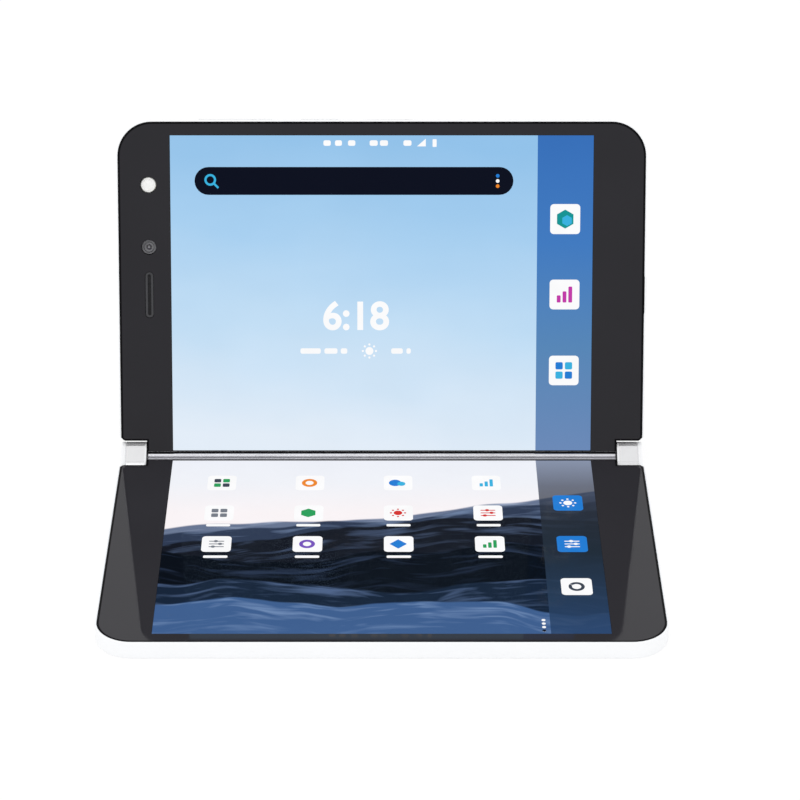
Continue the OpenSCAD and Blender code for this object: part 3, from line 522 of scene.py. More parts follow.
def boardFinish():
    # Solder mask with copper tracks under it
    material, tree, shader = startFinish("circuit board")
    place = objectPlace(tree)
    bricks = addNode(tree, "TexBrick", Vector=place, Scale=1 / (boardLook["cell"] * mm),
                     Color1=(0.9, 0.9, 0.9), Color2=(0.6, 0.6, 0.6), Mortar=(0, 0, 0)).node
    bricks.inputs["Mortar Size"].default_value = 0.05
    tracks = bricks.outputs["Fac"]
    blots = noise(tree, place, 1 / (boardLook["blot"] * mm), 3.0)
    mask = blendTones(tree, spread(tree, blots), boardLook["mask"], boardLook["pale"])
    fillInputs(tree, shader, {
        "Base Color": blendTones(tree, tracks, mask, boardLook["track"]),
        "Roughness": spread(tree, blots, *boardLook["rough"]),
        "Normal": addNode(tree, "Bump", Strength=boardLook["bump"], Height=tracks,
                          Distance=boardLook["height"] * mm),
    })
    return material


glassLook = {
    "smear": 60.0,  # scale of the faint smears
    "clear": (1.0, 0.99),  # what the pane lets through
    "rough": (0.03, 0.06),  # of the reflection on lit faces, with its index
    "shine": 1.07,
    "cloud": 180.0,  # scale of the panel's unevenness, and its darkest share
    "uneven": 0.97,
}


def clearFinish():
    # The faces under the glass carry its reflection, so the pane itself only has faint smears
    material, tree, shader = startFinish("clear window")
    smear = noise(tree, objectPlace(tree), glassLook["smear"], 4.0)
    through = addNode(tree, "BsdfTransparent", Color=spread(tree, smear, *glassLook["clear"]))
    useAsSurface(tree, shader, through)
    return material


def litFinish(name, paint):
    # A lit face with the reflection of the glass that lies bonded on it
    material, tree, shader = startFinish(name)
    smear = noise(tree, objectPlace(tree), glassLook["smear"], 3.0)
    fillInputs(tree, shader, {
        "Base Color": (0.0, 0.0, 0.0),
        "Emission Color": paint(tree),
        "Emission Strength": 1.0,
        "Roughness": spread(tree, smear, *glassLook["rough"]),
        "IOR": glassLook["shine"],
    })
    return material


def glowFinish(name, color):
    # An even colour with the faint unevenness of the panel
    def paint(tree):
        cloud = noise(tree, objectPlace(tree), glassLook["cloud"], 1.0)
        return blendTones(tree, spread(tree, cloud), color, darker(color, glassLook["uneven"]))
    return litFinish(name, paint)


finishFor["flash_lens"] = flashFinish()
finishFor["board"] = boardFinish()
finishFor["clear_window"] = clearFinish()
print("finishes made:", len(bpy.data.materials))


# Pictures on the screens, on a UV map that runs 0 to 1 over each display, upwards on the picture
def colorRamp(tree, factor, stops):
    output = addNode(tree, "ValToRGB", Fac=factor)
    elements = output.node.color_ramp.elements
    elements.remove(elements[-1])
    elements[0].position = stops[0][0]
    elements[0].color = (*tone(stops[0][1]), 1.0)
    for position, levels in stops[1:]:
        elements.new(position).color = (*tone(levels), 1.0)
    return output


def overDock(tree, picture, across, up, look):
    # The dock at the right has colours of its own
    inDock = mathNode(tree, "GREATER_THAN", across, look["dockStart"])
    return blendTones(tree, mathNode(tree, "MULTIPLY", inDock, look["dockShare"]), picture,
                      colorRamp(tree, up, look["dock"]))


def screenPlace(tree):
    uv = addNode(tree, "UVMap", {"uv_map": "screen"})
    parts = addNode(tree, "SeparateXYZ", Vector=uv).node.outputs
    return uv, parts[0], parts[1]


skyLook = {
    "stops": [(0.0, (228, 238, 249)), (0.38, (195, 223, 246)), (0.7, (168, 208, 241)),
              (1.0, (147, 195, 235))],
    "lean": (0.45, 0.09),  # the bands lean about this place, by this much
    "haze": 0.05,
    "dock": [(0.0, (108, 138, 184)), (0.33, (88, 135, 184)), (0.66, (66, 123, 193)),
             (1.0, (56, 112, 186))],
    "dockStart": 0.868,
    "dockShare": 1.0,
}


def paintSky(tree):
    uv, across, up = screenPlace(tree)
    haze = noise(tree, addNode(tree, "Mapping", Vector=uv, Scale=(1.6, 3.2, 1)), 1.3, 3.0, 0.45)
    middle, lean = skyLook["lean"]
    leaning = mathNode(tree, "MULTIPLY_ADD", mathNode(tree, "SUBTRACT", across, middle), lean, up)
    lifted = mathNode(tree, "ADD", leaning, spread(tree, haze, -skyLook["haze"], skyLook["haze"]))
    return overDock(tree, colorRamp(tree, lifted, skyLook["stops"]), across, up, skyLook)


# Rolling slate waves under a pale sky: each layer is (height, swell, waves, dark, light, slope)
waveLook = {
    "sky": [(0.0, (252, 244, 245)), (0.68, (251, 245, 247)), (0.86, (241, 243, 249)),
            (1.0, (238, 241, 249))],
    "layers": [
        (0.675, 0.04, 2.3, (104, 118, 146), (160, 174, 200), 0.20),
        (0.645, 0.045, 3.1, (48, 60, 84), (112, 132, 166), 0.19),
        (0.58, 0.06, 2.7, (22, 26, 36), (76, 92, 122), 0.15),
        (0.44, 0.06, 3.6, (11, 17, 26), (48, 62, 88), 0.04),
        (0.27, 0.05, 2.9, (24, 38, 58), (84, 106, 144), -0.03),
        (0.155, 0.045, 3.4, (64, 96, 144), (122, 150, 192), -0.06),
    ],
    "edge": 0.004,  # softness of each crest
    "streaks": (7.0, 32.0),  # how many across and down
    "lit": (0.5, 0.72),  # share of the noise that turns to light streaks
    "fade": (0.16, 0.35),  # below a crest the light fades over the first, to the second
    "dock": [(0.0, (42, 69, 108)), (0.22, (41, 61, 87)), (0.45, (37, 49, 62)), (0.68, (42, 48, 58)),
             (0.84, (64, 74, 97)), (1.0, (114, 128, 156))],
    "dockStart": 0.868,
    "dockShare": 0.88,
}


def paintWaves(tree):
    uv, across, up = screenPlace(tree)
    picture = colorRamp(tree, up, waveLook["sky"])
    edge, streaks, fade = waveLook["edge"], waveLook["streaks"], waveLook["fade"]
    for count, (height, swell, waves, dark, light, slope) in enumerate(waveLook["layers"]):
        # Each layer reads the noise at another place, so no two look alike
        line = addNode(tree, "CombineXYZ", X=mathNode(tree, "MULTIPLY", across, waves),
                       Y=3.7 * count + 1.3)
        roll = noise(tree, line, 1.0, 2.0, 0.4)
        rise = mathNode(tree, "MULTIPLY", mathNode(tree, "SUBTRACT", across, 0.5), slope)
        crest = mathNode(tree, "ADD", spread(tree, roll, height - swell, height + swell), rise)
        below = mathNode(tree, "SUBTRACT", crest, up)
        lain = addNode(tree, "CombineXYZ", X=mathNode(tree, "MULTIPLY", across, streaks[0]),
                       Y=mathNode(tree, "MULTIPLY", below, streaks[1]), Z=2.1 * count)
        streak = noise(tree, lain, 1.0, 2.5, 0.55, 0.4)
        lit = mathNode(tree, "MULTIPLY", spread(tree, streak, 0.0, 0.95, *waveLook["lit"]),
                       spread(tree, below, 1.0, fade[1], 0.0, fade[0]))
        picture = blendTones(tree, spread(tree, below, 0.0, 1.0, -edge, edge), picture,
                             blendTones(tree, lit, tone(dark), tone(light)))
    return overDock(tree, picture, across, up, waveLook)


finishFor["upper_screen"] = litFinish("upper screen picture", paintSky)
finishFor["lower_screen"] = litFinish("lower screen picture", paintWaves)


# The pieces that both halves share: frame, hinge bar, glasses and display
notchPaint = {
    "past": 0.15,  # reaches this far past the bar's end and the notch's depth
    "short": 0.6,  # ends this far before the half's side
    "bottom": -1.0,  # lowest place that is painted
    # The grey on those walls is painted shade
    "straight": 0.7,  # walls that face the hinge block at least this squarely are grey
}


def facesIn(piece, space):
    # Each face of a piece with its middle and its normal in the given space
    inside = space.inverted()
    for face in piece.data.polygons:
        yield face, inside @ face.center, (inside.to_3x3() @ face.normal).normalized()


def paintNotch(piece, space):
    # Painted shade: the black border runs on over the notch's rim and the walls beside the bar, and the walls
    # behind the block get a painted grey shade in place of the frame's white
    start, end = phone["barHalf"] - notchPaint["past"], phone["width"] / 2 - notchPaint["short"]
    for face, place, facing in facesIn(piece, space):
        nearBlock = start < abs(place.x) < end and place.z > notchPaint["bottom"]
        if nearBlock and place.y < phone["notchDepth"] + notchPaint["past"]:
            face.material_index = 2 if abs(facing.y) > notchPaint["straight"] else 1


for half, (space, body) in halves.items():
    # The frame's notch walls get painted shade: black beside the bar, grey behind the block
    frameBody = copyNode(half + "_frame_body", half + "_frame", body,
                         ["frame_white", "black_edge_and_painted_shade", "painted_shade_notch_wall"])
    paintNotch(frameBody, space)

coverLook = {
    "edgeRound": 0.16,  # rounding of the glass round its rim
    "band": 0.4,  # darker band inside it
    "steps": 4,
    "startCut": 0.06,  # the rim's rounding takes this much off beside the bar
    "paneDrop": 0.1,  # thickness of the clear pane in the openings
    "over": 0.3,  # the glass stands this far over the rim of the notches
    "chamfer": 1.5,  # at the outer corner of each notch
    "swell": 0.15,  # the black border swells a little beside the socket
    "swellReach": 0.8,  # to both sides of the socket's collar
    "swellRoot": 0.02,  # how far the swell is sunk into the border
    "swellRise": 0.01,
}
# Holes are wider than the pieces in them by this much, on the radius
holeLook = {"camera": 0.05, "flash": 0.3, "ear": 0.05}
# Picture below the glass face, and the gap beside it
pictureLook = {"drop": 0.18, "gap": 0.03}
# Edge of a back glass: how far in from its side, and the share of its thickness
backEdge = ((0.0, 1.0), (0.0, 0.3), (0.05, 0.12), (0.15, 0.0))


def coverGlass(half):
    bm = bmesh.new()
    inset = phone["width"] / 2 - glass.high.x
    start, bottom, top = glass.low.y, glass.low.z, glass.high.z
    rounding = coverLook["edgeRound"]
    profile = [(0.0, bottom),
               *arcPoints(rounding, top - rounding, rounding, 180, 90, coverLook["steps"]),
               (rounding + coverLook["band"], top)]
    rings = []
    for inward, z in profile:
        outline = halfOutline(inset + inward, phone["notchRim"] - coverLook["over"] + inward, start,
                              coverLook["chamfer"])
        outline = [(x, max(y, start + min(inward, coverLook["startCut"]))) for x, y in outline]
        rings.append(addRing(bm, outline, flat(z)))
    joinRings(bm, rings, 1)
    holes = [addTube(bm, hole, flat(bottom), flat(top), 1) for hole in openings[half]]
    fillRings(bm, [rings[-1]] + [high for low, high in holes], 0)
    fillRings(bm, [rings[0]] + [low for low, high in holes], 1)
    if half == "upper":
        collarBox = nodeBox("socket_collar")
        start, end = collarBox.low.y, collarBox.high.y
        root, reach = coverLook["swellRoot"], coverLook["swellReach"]
        side, swell = glass.high.x - root, glass.high.x + coverLook["swell"]
        outline = [(side, start - reach), (swell, start), (swell, end), (side, end + reach)]
        addPlate(bm, outline, top - root, top + coverLook["swellRise"], 1)
    return bm


def displayOutline(grow=0.0):
    return boxPoints(0, screen.middle.y, screen.size.x + 2 * grow, screen.size.y + 2 * grow)


ring, lens, flash, ear = [nodeBox(node) for node in ("camera_ring", "camera_lens", "flash_lens",
                                                     "earpiece_insert")]
ringRadius, lensRadius, flashRadius = [box.size.x / 2 for box in (ring, lens, flash)]


def earSlot(inward):
    # Upright outline of the earpiece, moved in from its rim
    points = slotPoints(0, 0, ear.size.y - 2 * inward, ear.size.x - 2 * inward)
    return [(ear.middle.x - y, ear.middle.y + x) for x, y in points]


cameraHole = circlePoints(ring.middle.x, ring.middle.y, ringRadius + holeLook["camera"])
flashHole = circlePoints(flash.middle.x, flash.middle.y, flashRadius + holeLook["flash"])
panes = {"lower": [displayOutline()], "upper": [displayOutline(), cameraHole, flashHole]}
openings = {"lower": panes["lower"], "upper": [*panes["upper"], earSlot(-holeLook["ear"])]}

# The lower half gets the lighter copy of the glass, a painted reflection
glassFor = {"lower": "lower_cover_glass", "upper": "cover_glass"}
for half, place in halves.items():
    newPiece(half + "_cover_glass_ink", coverGlass(half), place, [glassFor[half], "black_edge_and_painted_shade"],
             replaces=[half + "_cover_glass"], slot="cover_glass", crease=50)
    bm = bmesh.new()
    for pane in panes[half]:
        addPlate(bm, pane, glass.high.z - coverLook["paneDrop"], glass.high.z)
    newPiece(half + "_clear_window", bm, place, ["clear_window"], replaces=[half + "_cover_glass"],
             slot="cover_glass")

    bm = bmesh.new()
    paintFaces(addPlate(bm, displayOutline(-pictureLook["gap"]), screen.low.z,
                        glass.high.z - pictureLook["drop"], 1), 0)
    flip = -1 if half == "lower" else 1
    uvMap = bm.loops.layers.uv.new("screen")
    for face in bm.faces:
        for corner in face.loops:
            across = 0.5 + flip * corner.vert.co.x / screen.size.x
            up = (corner.vert.co.y - screen.low.y) / screen.size.y
            corner[uvMap].uv = (across, up if half == "upper" else 1 - up)
    newPiece(half + "_display_panel", bm, place, [half + "_screen", "black_border"],
             replaces=[half + "_display"])

    back = nodeBox(half + "_back_glass", place[0])
    inset = phone["width"] / 2 - back.high.x
    bm = bmesh.new()
    addLoft(bm, [addRing(bm, halfOutline(inset + inward, phone["notchRim"] + inward, back.low.y),
                         flat(back.low.z + share * back.size.z)) for inward, share in backEdge])
    newPiece(half + "_back_glass_plate", bm, place, ["back_glass"], replaces=[half + "_back_glass"])
print("frames, glasses and displays made")

barLook = {
    "round": 0.1,
    "steps": 40,  # along the round side
    # Steps of the round side, from the screen on, and the finish of the bar that they get: a black strip on the
    # upper bar, painted half-shade on its side toward the lower bar, and painted shade along the lower bar's top
    "strips": {"upper": ((0, 3, 1), (10, 20, 3)), "lower": ((0, 3, 2),)},
    "under": 1.8,  # flat side: below the shaft, and the groove for the display's edge
    "lipY": 0.25,
    "lipTop": 1.75,
    "deepY": 1.6,
    "deepTop": 1.1,
    "boreRadius": 0.8,
    "boreDepth": 3.0,
    "earInset": 6.5,  # the ears that screw the bar on, from its ends
    "earWidth": 9.0,
    "earBottom": -0.1,
    "earTop": 0.55,
    "earCorner": 0.4,
    "earGap": 0.01,
    "hole": 0.45,
    "holeIn": 1.8,
}


def hingeBar(half, space):
    # Half-round bar: its round side faces the other half, its flat side holds the display's edge
    bm = bmesh.new()
    lipY, lipTop, deepY, deepTop = [barLook[name] for name in ("lipY", "lipTop", "deepY", "deepTop")]
    outline = arcPoints(0, 0, phone["top"], 90, 270, barLook["steps"])
    outline += [(0, -barLook["under"]), (deepY, -barLook["under"]), (deepY, deepTop),
                (lipY, deepTop), (lipY, lipTop), (0, lipTop)]
    bore = circlePoints(0, 0, barLook["boreRadius"], 32)
    ends = phone["barHalf"]
    rings = [addRing(bm, outline, acrossX(x)) for x in (-ends, ends)]
    faces = joinRings(bm, rings)
    # Strips of the round side get painted shade and painted half-shade in darker copies of the silver
    for first, last, finish in barLook["strips"][half]:
        paintFaces(faces[first:last], finish)
    for ring, side in zip(rings, (-1, 1)):
        mouth, floor = addTube(bm, bore, acrossX(side * ends),
                               acrossX(side * (ends - barLook["boreDepth"])))
        fillRings(bm, [ring, mouth])
        fillRings(bm, [floor])
    earEnd = nodeBox(half + "_hinge_bar", space).high.y
    start, width = deepY + barLook["earGap"], barLook["earWidth"]
    for side in (-1, 1):
        middle = side * (ends - barLook["earInset"])
        holes = [circlePoints(middle + step * width / 4, earEnd - barLook["holeIn"],
                              barLook["hole"], 20) for step in (-1, 1)]
        ear = boxPoints(middle, (start + earEnd) / 2, width, earEnd - start, barLook["earCorner"])
        addPlate(bm, ear, barLook["earBottom"], barLook["earTop"], 0, holes)
    return bm


for half, place in halves.items():
    newPiece(half + "_hinge_bar_rod", hingeBar(half, place[0]), place,
             ["satin_silver", "black_edge_and_painted_shade", "painted_shade_silver", "painted_half_shade_silver"],
             replaces=[half + "_hinge_bar"], bevel=barLook["round"])

hingeLook = {
    "lip": 0.3,  # rounding of the block's inner end, with the bright band after it
    "paintedHighlightBand": 0.35,
    "seam": 0.15,  # bevels where block and cap meet
    "capRound": 0.5,
    "wall": 0.5,
    "bore": 0.82,
    "plugGap": 0.05,  # the cap's plug in the block's cavity
    "plugRim": 0.4,
    "groove": 0.06,  # depth of the block's two grooves
    "grooveTurn": 70.5,  # the one round the upper shaft, in degrees, and half its width
    "grooveWidth": 1.4,
    "faceGroove": 0.36,  # the one on the front face, from the lower shaft
}


def linkPoints(radius, depth=None, steps=20):
    # Long round outline about both shafts, with the grooves if a depth is given
    turns = [(180 * step / steps - 90, radius) for step in range(steps + 1)]
    grooves = []
    if depth is not None:
        middle, width = hingeLook["grooveTurn"], hingeLook["grooveWidth"]
        turns = [turn for turn in turns if abs(turn[0] - middle) > 2 * width]
        turns += [(middle + side * width, radius - sink)
                  for side, sink in ((-1.6, 0), (-1, depth), (1, depth), (1.6, 0))]
        grooves = [(hingeLook["faceGroove"] + away, radius - sink)
                   for away, sink in ((0.1, 0), (0.06, depth), (-0.06, depth), (-0.1, 0))]
    upper = [(shaftGap + size * math.cos(math.radians(turn)), size * math.sin(math.radians(turn)))
             for turn, size in sorted(turns)]
    return upper + grooves + arcPoints(0, 0, radius, 90, 270, steps)


def hingeHousing(box):
    start, end, radius = box.low.x, box.high.x, box.high.z
    lip, seam, wall = hingeLook["lip"], hingeLook["seam"], hingeLook["wall"]
    cavity = radius - wall
    stations = arcPoints(start + lip, radius - lip, lip, 180, 90, 3)
    stations += [(start + lip + hingeLook["paintedHighlightBand"], radius), (end - seam, radius),
                 (end, radius - seam), (end, cavity), (start + wall, cavity)]
    bm = bmesh.new()
    rings = [addRing(bm, linkPoints(size, hingeLook["groove"] if size > cavity else 0), acrossX(x))
             for x, size in stations]
    faces = joinRings(bm, rings)
    # From the inner end on, two bands get painted shade in dark plastic and the next two a painted highlight in
    # the frame's brighter white
    band = len(rings[0])
    paintFaces(faces[:2 * band], 2)
    paintFaces(faces[2 * band:4 * band], 1)
    bores = [addTube(bm, circlePoints(shaft, 0, hingeLook["bore"], 32), acrossX(start),
                     acrossX(start + wall)) for shaft in (0, shaftGap)]
    # The inner end face is dark plastic too: painted shade
    fillRings(bm, [rings[0]] + [near for near, deep in bores], 2)
    fillRings(bm, [rings[-1]] + [deep for near, deep in bores])
    return bm


def hingeCap(box, start):
    radius = box.high.z
    rounding, seam = hingeLook["capRound"], hingeLook["seam"]
    plug = radius - hingeLook["wall"] - hingeLook["plugGap"]
    hollow = plug - hingeLook["plugRim"]
    stations = [(start, hollow), (box.low.x, hollow), (box.low.x, plug), (start, plug),
                (start, radius - seam), (start + seam, radius)]
    stations += arcPoints(box.high.x - rounding, radius - rounding, rounding, 90, 0, 6)
    bm = bmesh.new()
    addLoft(bm, [addRing(bm, linkPoints(size), acrossX(x)) for x, size in stations])
    return bm


for side, place in hinges.items():
    housing = nodeBox(side + "_housing", place[0])
    # The block's inner end is painted shade in dark plastic, the band after it a painted highlight in the frame's
    # white
    newPiece(side + "_hinge_block", hingeHousing(housing), place,
             ["hinge_white", "frame_white", "dark_plastic"], replaces=[side + "_housing"])
    newPiece(side + "_hinge_end", hingeCap(nodeBox(side + "_cap", place[0]), housing.high.x), place,
             ["frame_white"], replaces=[side + "_cap"], slot="hinge_white")
print("hinges made")

# Camera, flash and earpiece
cameraLook = {
    "round": 0.12,
    "step": 0.1,  # bevel at the ring's inner edge
    "gap": 0.02,  # between ring and lens
    # Front of the lens from its rim to its middle: share of the radius, height over its top
    "front": ((1, -0.1), (0.92, 0), (0.82, 0), (0.76, -0.05), (0.56, -0.08), (0.5, -0.16),
              (0.44, -0.1), (0.3, -0.04), (0.16, 0), (0, 0.02)),
    # Inside the first share the lens gets a painted glint
    "dark": (0.2, 0.5),  # shares of the radius between which the lens is dark
}
bm = bmesh.new()
bottom, top, rounding, step = ring.low.z, ring.high.z, cameraLook["round"], cameraLook["step"]
inner = lensRadius + cameraLook["gap"]
addLathe(bm, [(inner, bottom), (inner, top - step), (lensRadius + step, top),
              (ringRadius - rounding, top), (ringRadius, top - rounding), (ringRadius, bottom),
              (inner, bottom)], ring.middle)
# The ring's profile ends where it starts
bmesh.ops.remove_doubles(bm, verts=bm.verts, dist=0.0001)
newPiece("camera_trim_ring", bm, upperHalf, ["camera_ring"], replaces=["camera_ring"])

bm = bmesh.new()
front = [(lensRadius * share, lens.high.z + rise) for share, rise in cameraLook["front"]]
addLathe(bm, [(0, lens.low.z), (lensRadius, lens.low.z), *front], ring.middle)
darkStart, darkEnd = cameraLook["dark"]
# The middle of the lens gets a lighter disc: a painted glint
for face in bm.faces:
    away = (face.calc_center_median().xy - ring.middle.xy).length / lensRadius
    face.material_index = 2 if away < darkStart else (0 if away < darkEnd else 1)
newPiece("camera_front_lens", bm, upperHalf, ["lens", "camera_ring", "painted_glint_lens_centre"],
         replaces=["camera_lens"])

# Fine rings on the flash's face, inside a smooth edge
flashShape = {"bevel": 0.12, "edge": 0.3, "rings": 5, "groove": 0.06, "dimple": 0.02}
bm = bmesh.new()
bottom, top, bevel, groove = flash.low.z, flash.high.z, flashShape["bevel"], flashShape["groove"]
profile = [(0, bottom), (flashRadius, bottom), (flashRadius, top - bevel), (flashRadius - bevel, top)]
for step in range(flashShape["rings"]):
    radius = (flashRadius - flashShape["edge"]) * (1 - step / flashShape["rings"])
    profile += [(radius, top), (radius - groove, top - groove)]
addLathe(bm, [*profile, (0, top - flashShape["dimple"])], flash.middle)
newPiece("flash_window", bm, upperHalf, ["flash_lens"], replaces=["flash_lens"])

earLook = {
    "rim": 0.75,
    "bevel": 0.12,
    "drop": 0.35,  # of the cross wires and the floor below the rim
    "wire": 0.08,
    "pitch": 0.24,
    "wireDepth": 0.06,
    "wireCorner": 0.02,
    "wireEnd": 0.1,  # the cross wires end this much short of the rim
    "weave": 0.02,  # the long wires lie this much over the cross wires
    "floor": 0.1,
    "round": 0.6,  # share of the width that the round ends take from the wires' length
}
rim, bevel, pitch = earLook["rim"], earLook["bevel"], earLook["pitch"]
bottom, top = ear.low.z, ear.high.z
bm = bmesh.new()
rings = [addRing(bm, earSlot(inward), flat(z))
         for inward, z in ((0.0, bottom), (0.0, top - bevel), (bevel, top), (rim - bevel, top),
                           (rim, top - bevel), (rim, bottom))]
joinRings(bm, [*rings, rings[0]])
wireZ = top - earLook["drop"]
addPlate(bm, earSlot(rim), wireZ - earLook["floor"], wireZ, 1)
width = ear.size.x - 2 * rim
length = ear.size.y - 2 * rim - width * earLook["round"]
wire, corner, depth = earLook["wire"], earLook["wireCorner"], earLook["wireDepth"]
addTiles(bm, 1, "ear_mesh", (*ear.middle.xy, wireZ), (width - earLook["wireEnd"], wire), corner,
         depth, rows=int(length / pitch), step=(0, pitch))
addTiles(bm, 1, "ear_mesh", (*ear.middle.xy, wireZ + earLook["weave"]), (wire, length), corner,
         depth, columns=int(width / pitch), step=(pitch, 0))
newPiece("earpiece_grille", bm, upperHalf, ["dark_plastic", "ear_mesh"],
         replaces=["earpiece_insert"], slot="camera_ring")
print("camera, flash and earpiece made")

# Keys, sensor, tray and socket in the upper half's edges. A key's node has a flange inside the frame,
# so what is drawn of it is shorter and thinner.
keyLook = {"crown": 0.16, "flangeX": 0.8, "flangeZ": 0.3}


def keyCap(node):
    box = nodeBox(node)
    length, thick = box.size.x - keyLook["flangeX"], box.size.z - keyLook["flangeZ"]
    crown = keyLook["crown"]
    stations = [(box.low.y, 0.0), *arcPoints(box.high.y - crown, crown, crown, -90, 0, 3)]
    bm = bmesh.new()
    addLoft(bm, [addRing(bm, slotPoints(box.middle.x, box.middle.z, length - 2 * inward,
                                        thick - 2 * inward), acrossY(y)) for y, inward in stations])
    return bm


for node in ("power_button", "volume_rocker"):
    newPiece(node + "_cap", keyCap(node), (upperSpace, node), ["frame_white"], replaces=[node])
newPiece("fingerprint_pad", keyCap("fingerprint_sensor"), upperHalf, ["dark_plastic"],
         replaces=["fingerprint_sensor"])
copyNode("card_tray_slide_plate", "card_tray", "card_tray", ["frame_white"])
# The collar's outer wall is white as the frame's side is, its end and inside stay dark
collar = copyNode("socket_collar_ring", "socket_collar", "upper_half", ["dark_plastic", "frame_white"])
collarAt = nodeBox("socket_collar").middle
for face, place, facing in facesIn(collar, upperSpace):
    if abs(facing.x) < 0.5 and facing.yz.dot((place - collarAt).yz) > 0:
        face.material_index = 1
copyNode("socket_shell_sleeve", "socket_shell", "upper_half", ["steel"])

# Contacts on both faces of the socket's tongue
contactLook = {"count": 12, "pitch": 0.5, "width": 0.25, "length": 3.4, "raise": 0.03,
               "corner": 0.05, "inset": 0.3, "tongueHalf": 0.35}
tongue = nodeBox("socket_tongue")
contactX = tongue.high.x - contactLook["length"] / 2 - contactLook["inset"]
bm = bmesh.new()
for z in (contactLook["tongueHalf"], -contactLook["tongueHalf"] - contactLook["raise"]):
    addTiles(bm, 0, "gear_brass", (contactX, tongue.middle.y, tongue.middle.z + z),
             (contactLook["length"], contactLook["width"]), contactLook["corner"],
             contactLook["raise"], rows=contactLook["count"], step=(0, contactLook["pitch"]))
newPiece("socket_contacts", bm, upperHalf, ["gear_brass"])
print("keys, tray and socket made")

# Symbols on the screens: sizes in millimetres, and the parts of a symbol as shares of its size
symbolTones = {
    "white": (254, 254, 255), "navy": (13, 17, 32), "grey": (120, 126, 136), "teal": (24, 150, 150),
    "blue": (38, 126, 214), "cyan": (60, 180, 226), "green": (44, 160, 92), "red": (216, 52, 48),
    "orange": (240, 138, 44), "purple": (120, 84, 190), "magenta": (196, 60, 170),
    "slate": (62, 70, 84),
}
symbolNames = list(symbolTones)
symbolFinishes = ["screen " + name for name in symbolNames]
for name, levels in symbolTones.items():
    finishFor["screen " + name] = glowFinish("screen " + name, tone(levels))
layerStep = 0.018
symbolDepth = 0.8 * layerStep
symbolZ = glass.high.z - pictureLook["drop"] + 0.002


def symbol(bm, toneName, outline, level=1, holes=()):
    base = symbolZ + level * layerStep
    addPlate(bm, outline, base, base + symbolDepth, symbolNames.index(toneName), holes)


def symbolTiles(bm, toneName, middle, size, corner, **grid):
    addTiles(bm, symbolNames.index(toneName), "screen " + toneName, (*middle, symbolZ), size, corner,
             symbolDepth, **grid)


def ringSymbol(bm, toneName, x, y, outer, inner):
    symbol(bm, toneName, circlePoints(x, y, outer, 32), 1, [circlePoints(x, y, inner, 32)])


def discSymbol(bm, toneName, x, y, radius, level=1):
    symbol(bm, toneName, circlePoints(x, y, radius, 28), level)


def pairSymbol(bm, names, x, y, first, second):
    discSymbol(bm, names[0], x - 0.7, y, first)
    discSymbol(bm, names[1], x + 1.0, y - 0.5, second, 2)


def polygonSymbol(bm, toneName, x, y, radius, corners, level=1):
    symbol(bm, toneName, circlePoints(x, y, radius, corners, 90), level)


def barsSymbol(bm, toneName, x, y, size):
    for step, share in enumerate((0.45, 0.7, 1.0)):
        symbol(bm, toneName, boxPoints(x + (step - 1) * size * 0.36, y - size * (1 - share) / 2,
                                       size * 0.24, size * share, size * 0.06))


def squaresSymbol(bm, names, x, y, size):
    away, width = size * 0.27, size * 0.42
    for name, (sx, sy) in zip(names, ((-1, 1), (1, 1), (-1, -1), (1, -1))):
        symbol(bm, name, boxPoints(x + sx * away, y + sy * away, width, width, size * 0.08))


def slidersSymbol(bm, toneName, x, y, size):
    for step, knob in enumerate((-0.22, 0.24, -0.05)):
        line = y + (step - 1) * size * 0.34
        symbol(bm, toneName, boxPoints(x, line, size, size * 0.1, size * 0.04))
        discSymbol(bm, toneName, x + knob * size, line, size * 0.14, 2)


def sunSymbol(bm, toneName, x, y, size):
    discSymbol(bm, toneName, x, y, size * 0.26)
    for rayX, rayY in circlePoints(x, y, size * 0.43, 8):
        discSymbol(bm, toneName, rayX, rayY, size * 0.07)


def addDigits(bm, toneName, words, x, y, height, bold):
    curve = bpy.data.curves.new("digits", "FONT")
    curve.body = words
    curve.align_x = "CENTER"
    curve.align_y = "CENTER"
    curve.size = height
    curve.offset = bold
    curve.extrude = symbolDepth / 2
    takeIn(bm, addObject("digits", curve), symbolNames.index(toneName),
           Matrix.Translation((x, y, symbolZ + layerStep)))


# Upper screen: millimetres across from the middle and up from the shaft
upperPage = {
    "pill": (-7.59, 74.7, 87.1, 7.6),  # middle, length and height
    "lens": (4.3, 0.3, 1.6, 1.0),  # the search symbol: its ring and its handle, from the pill's end
    "handle": ((5.2, -1.0), (5.6, -0.6), (6.7, -1.7), (6.3, -2.1)),
    "dots": ("blue", "white", "orange"),
    "dotSize": (4.3, 1.4, 0.5),  # place from the pill's end, step and radius
    "clock": (-7.1, 37.3, 10.7, 0.27),  # middle, height and boldness
    # Bars in place of words: height and corner, then the middle and width of each
    "bar": (1.5, 0.5),
    "dateY": 28.0,
    "date": ((-19.6, 5.6), (-14.0, 3.6), (-10.4, 1.8), (4.2, 3.2), (7.4, 1.2)),
    "sun": (-3.4, 4.2),
    "statusY": 85.0,
    "status": ((-14.9, 2.0), (-11.8, 1.9), (-8.2, 2.0), (-2.2, 2.2), (0.6, 2.2), (7.0, 2.2)),
    "signal": ((9.6, 84.1), (12.0, 84.1), (12.0, 86.2)),
    "charge": (14.4, 85.0, 1.1, 2.1, 0.2),
    "dockX": 50.2,
    "dockY": (64.3, 43.6, 22.6),
    "tile": 8.2,
}
bm = bmesh.new()
x, y, length, height = upperPage["pill"]
symbol(bm, "navy", slotPoints(x, y, length, height), 0)
start, end = x - length / 2, x + length / 2
lensX, lensY, outer, inner = upperPage["lens"]
ringSymbol(bm, "cyan", start + lensX, y + lensY, outer, inner)
symbol(bm, "cyan", [(start + awayX, y + awayY) for awayX, awayY in upperPage["handle"]])
dotX, dotStep, dotRadius = upperPage["dotSize"]
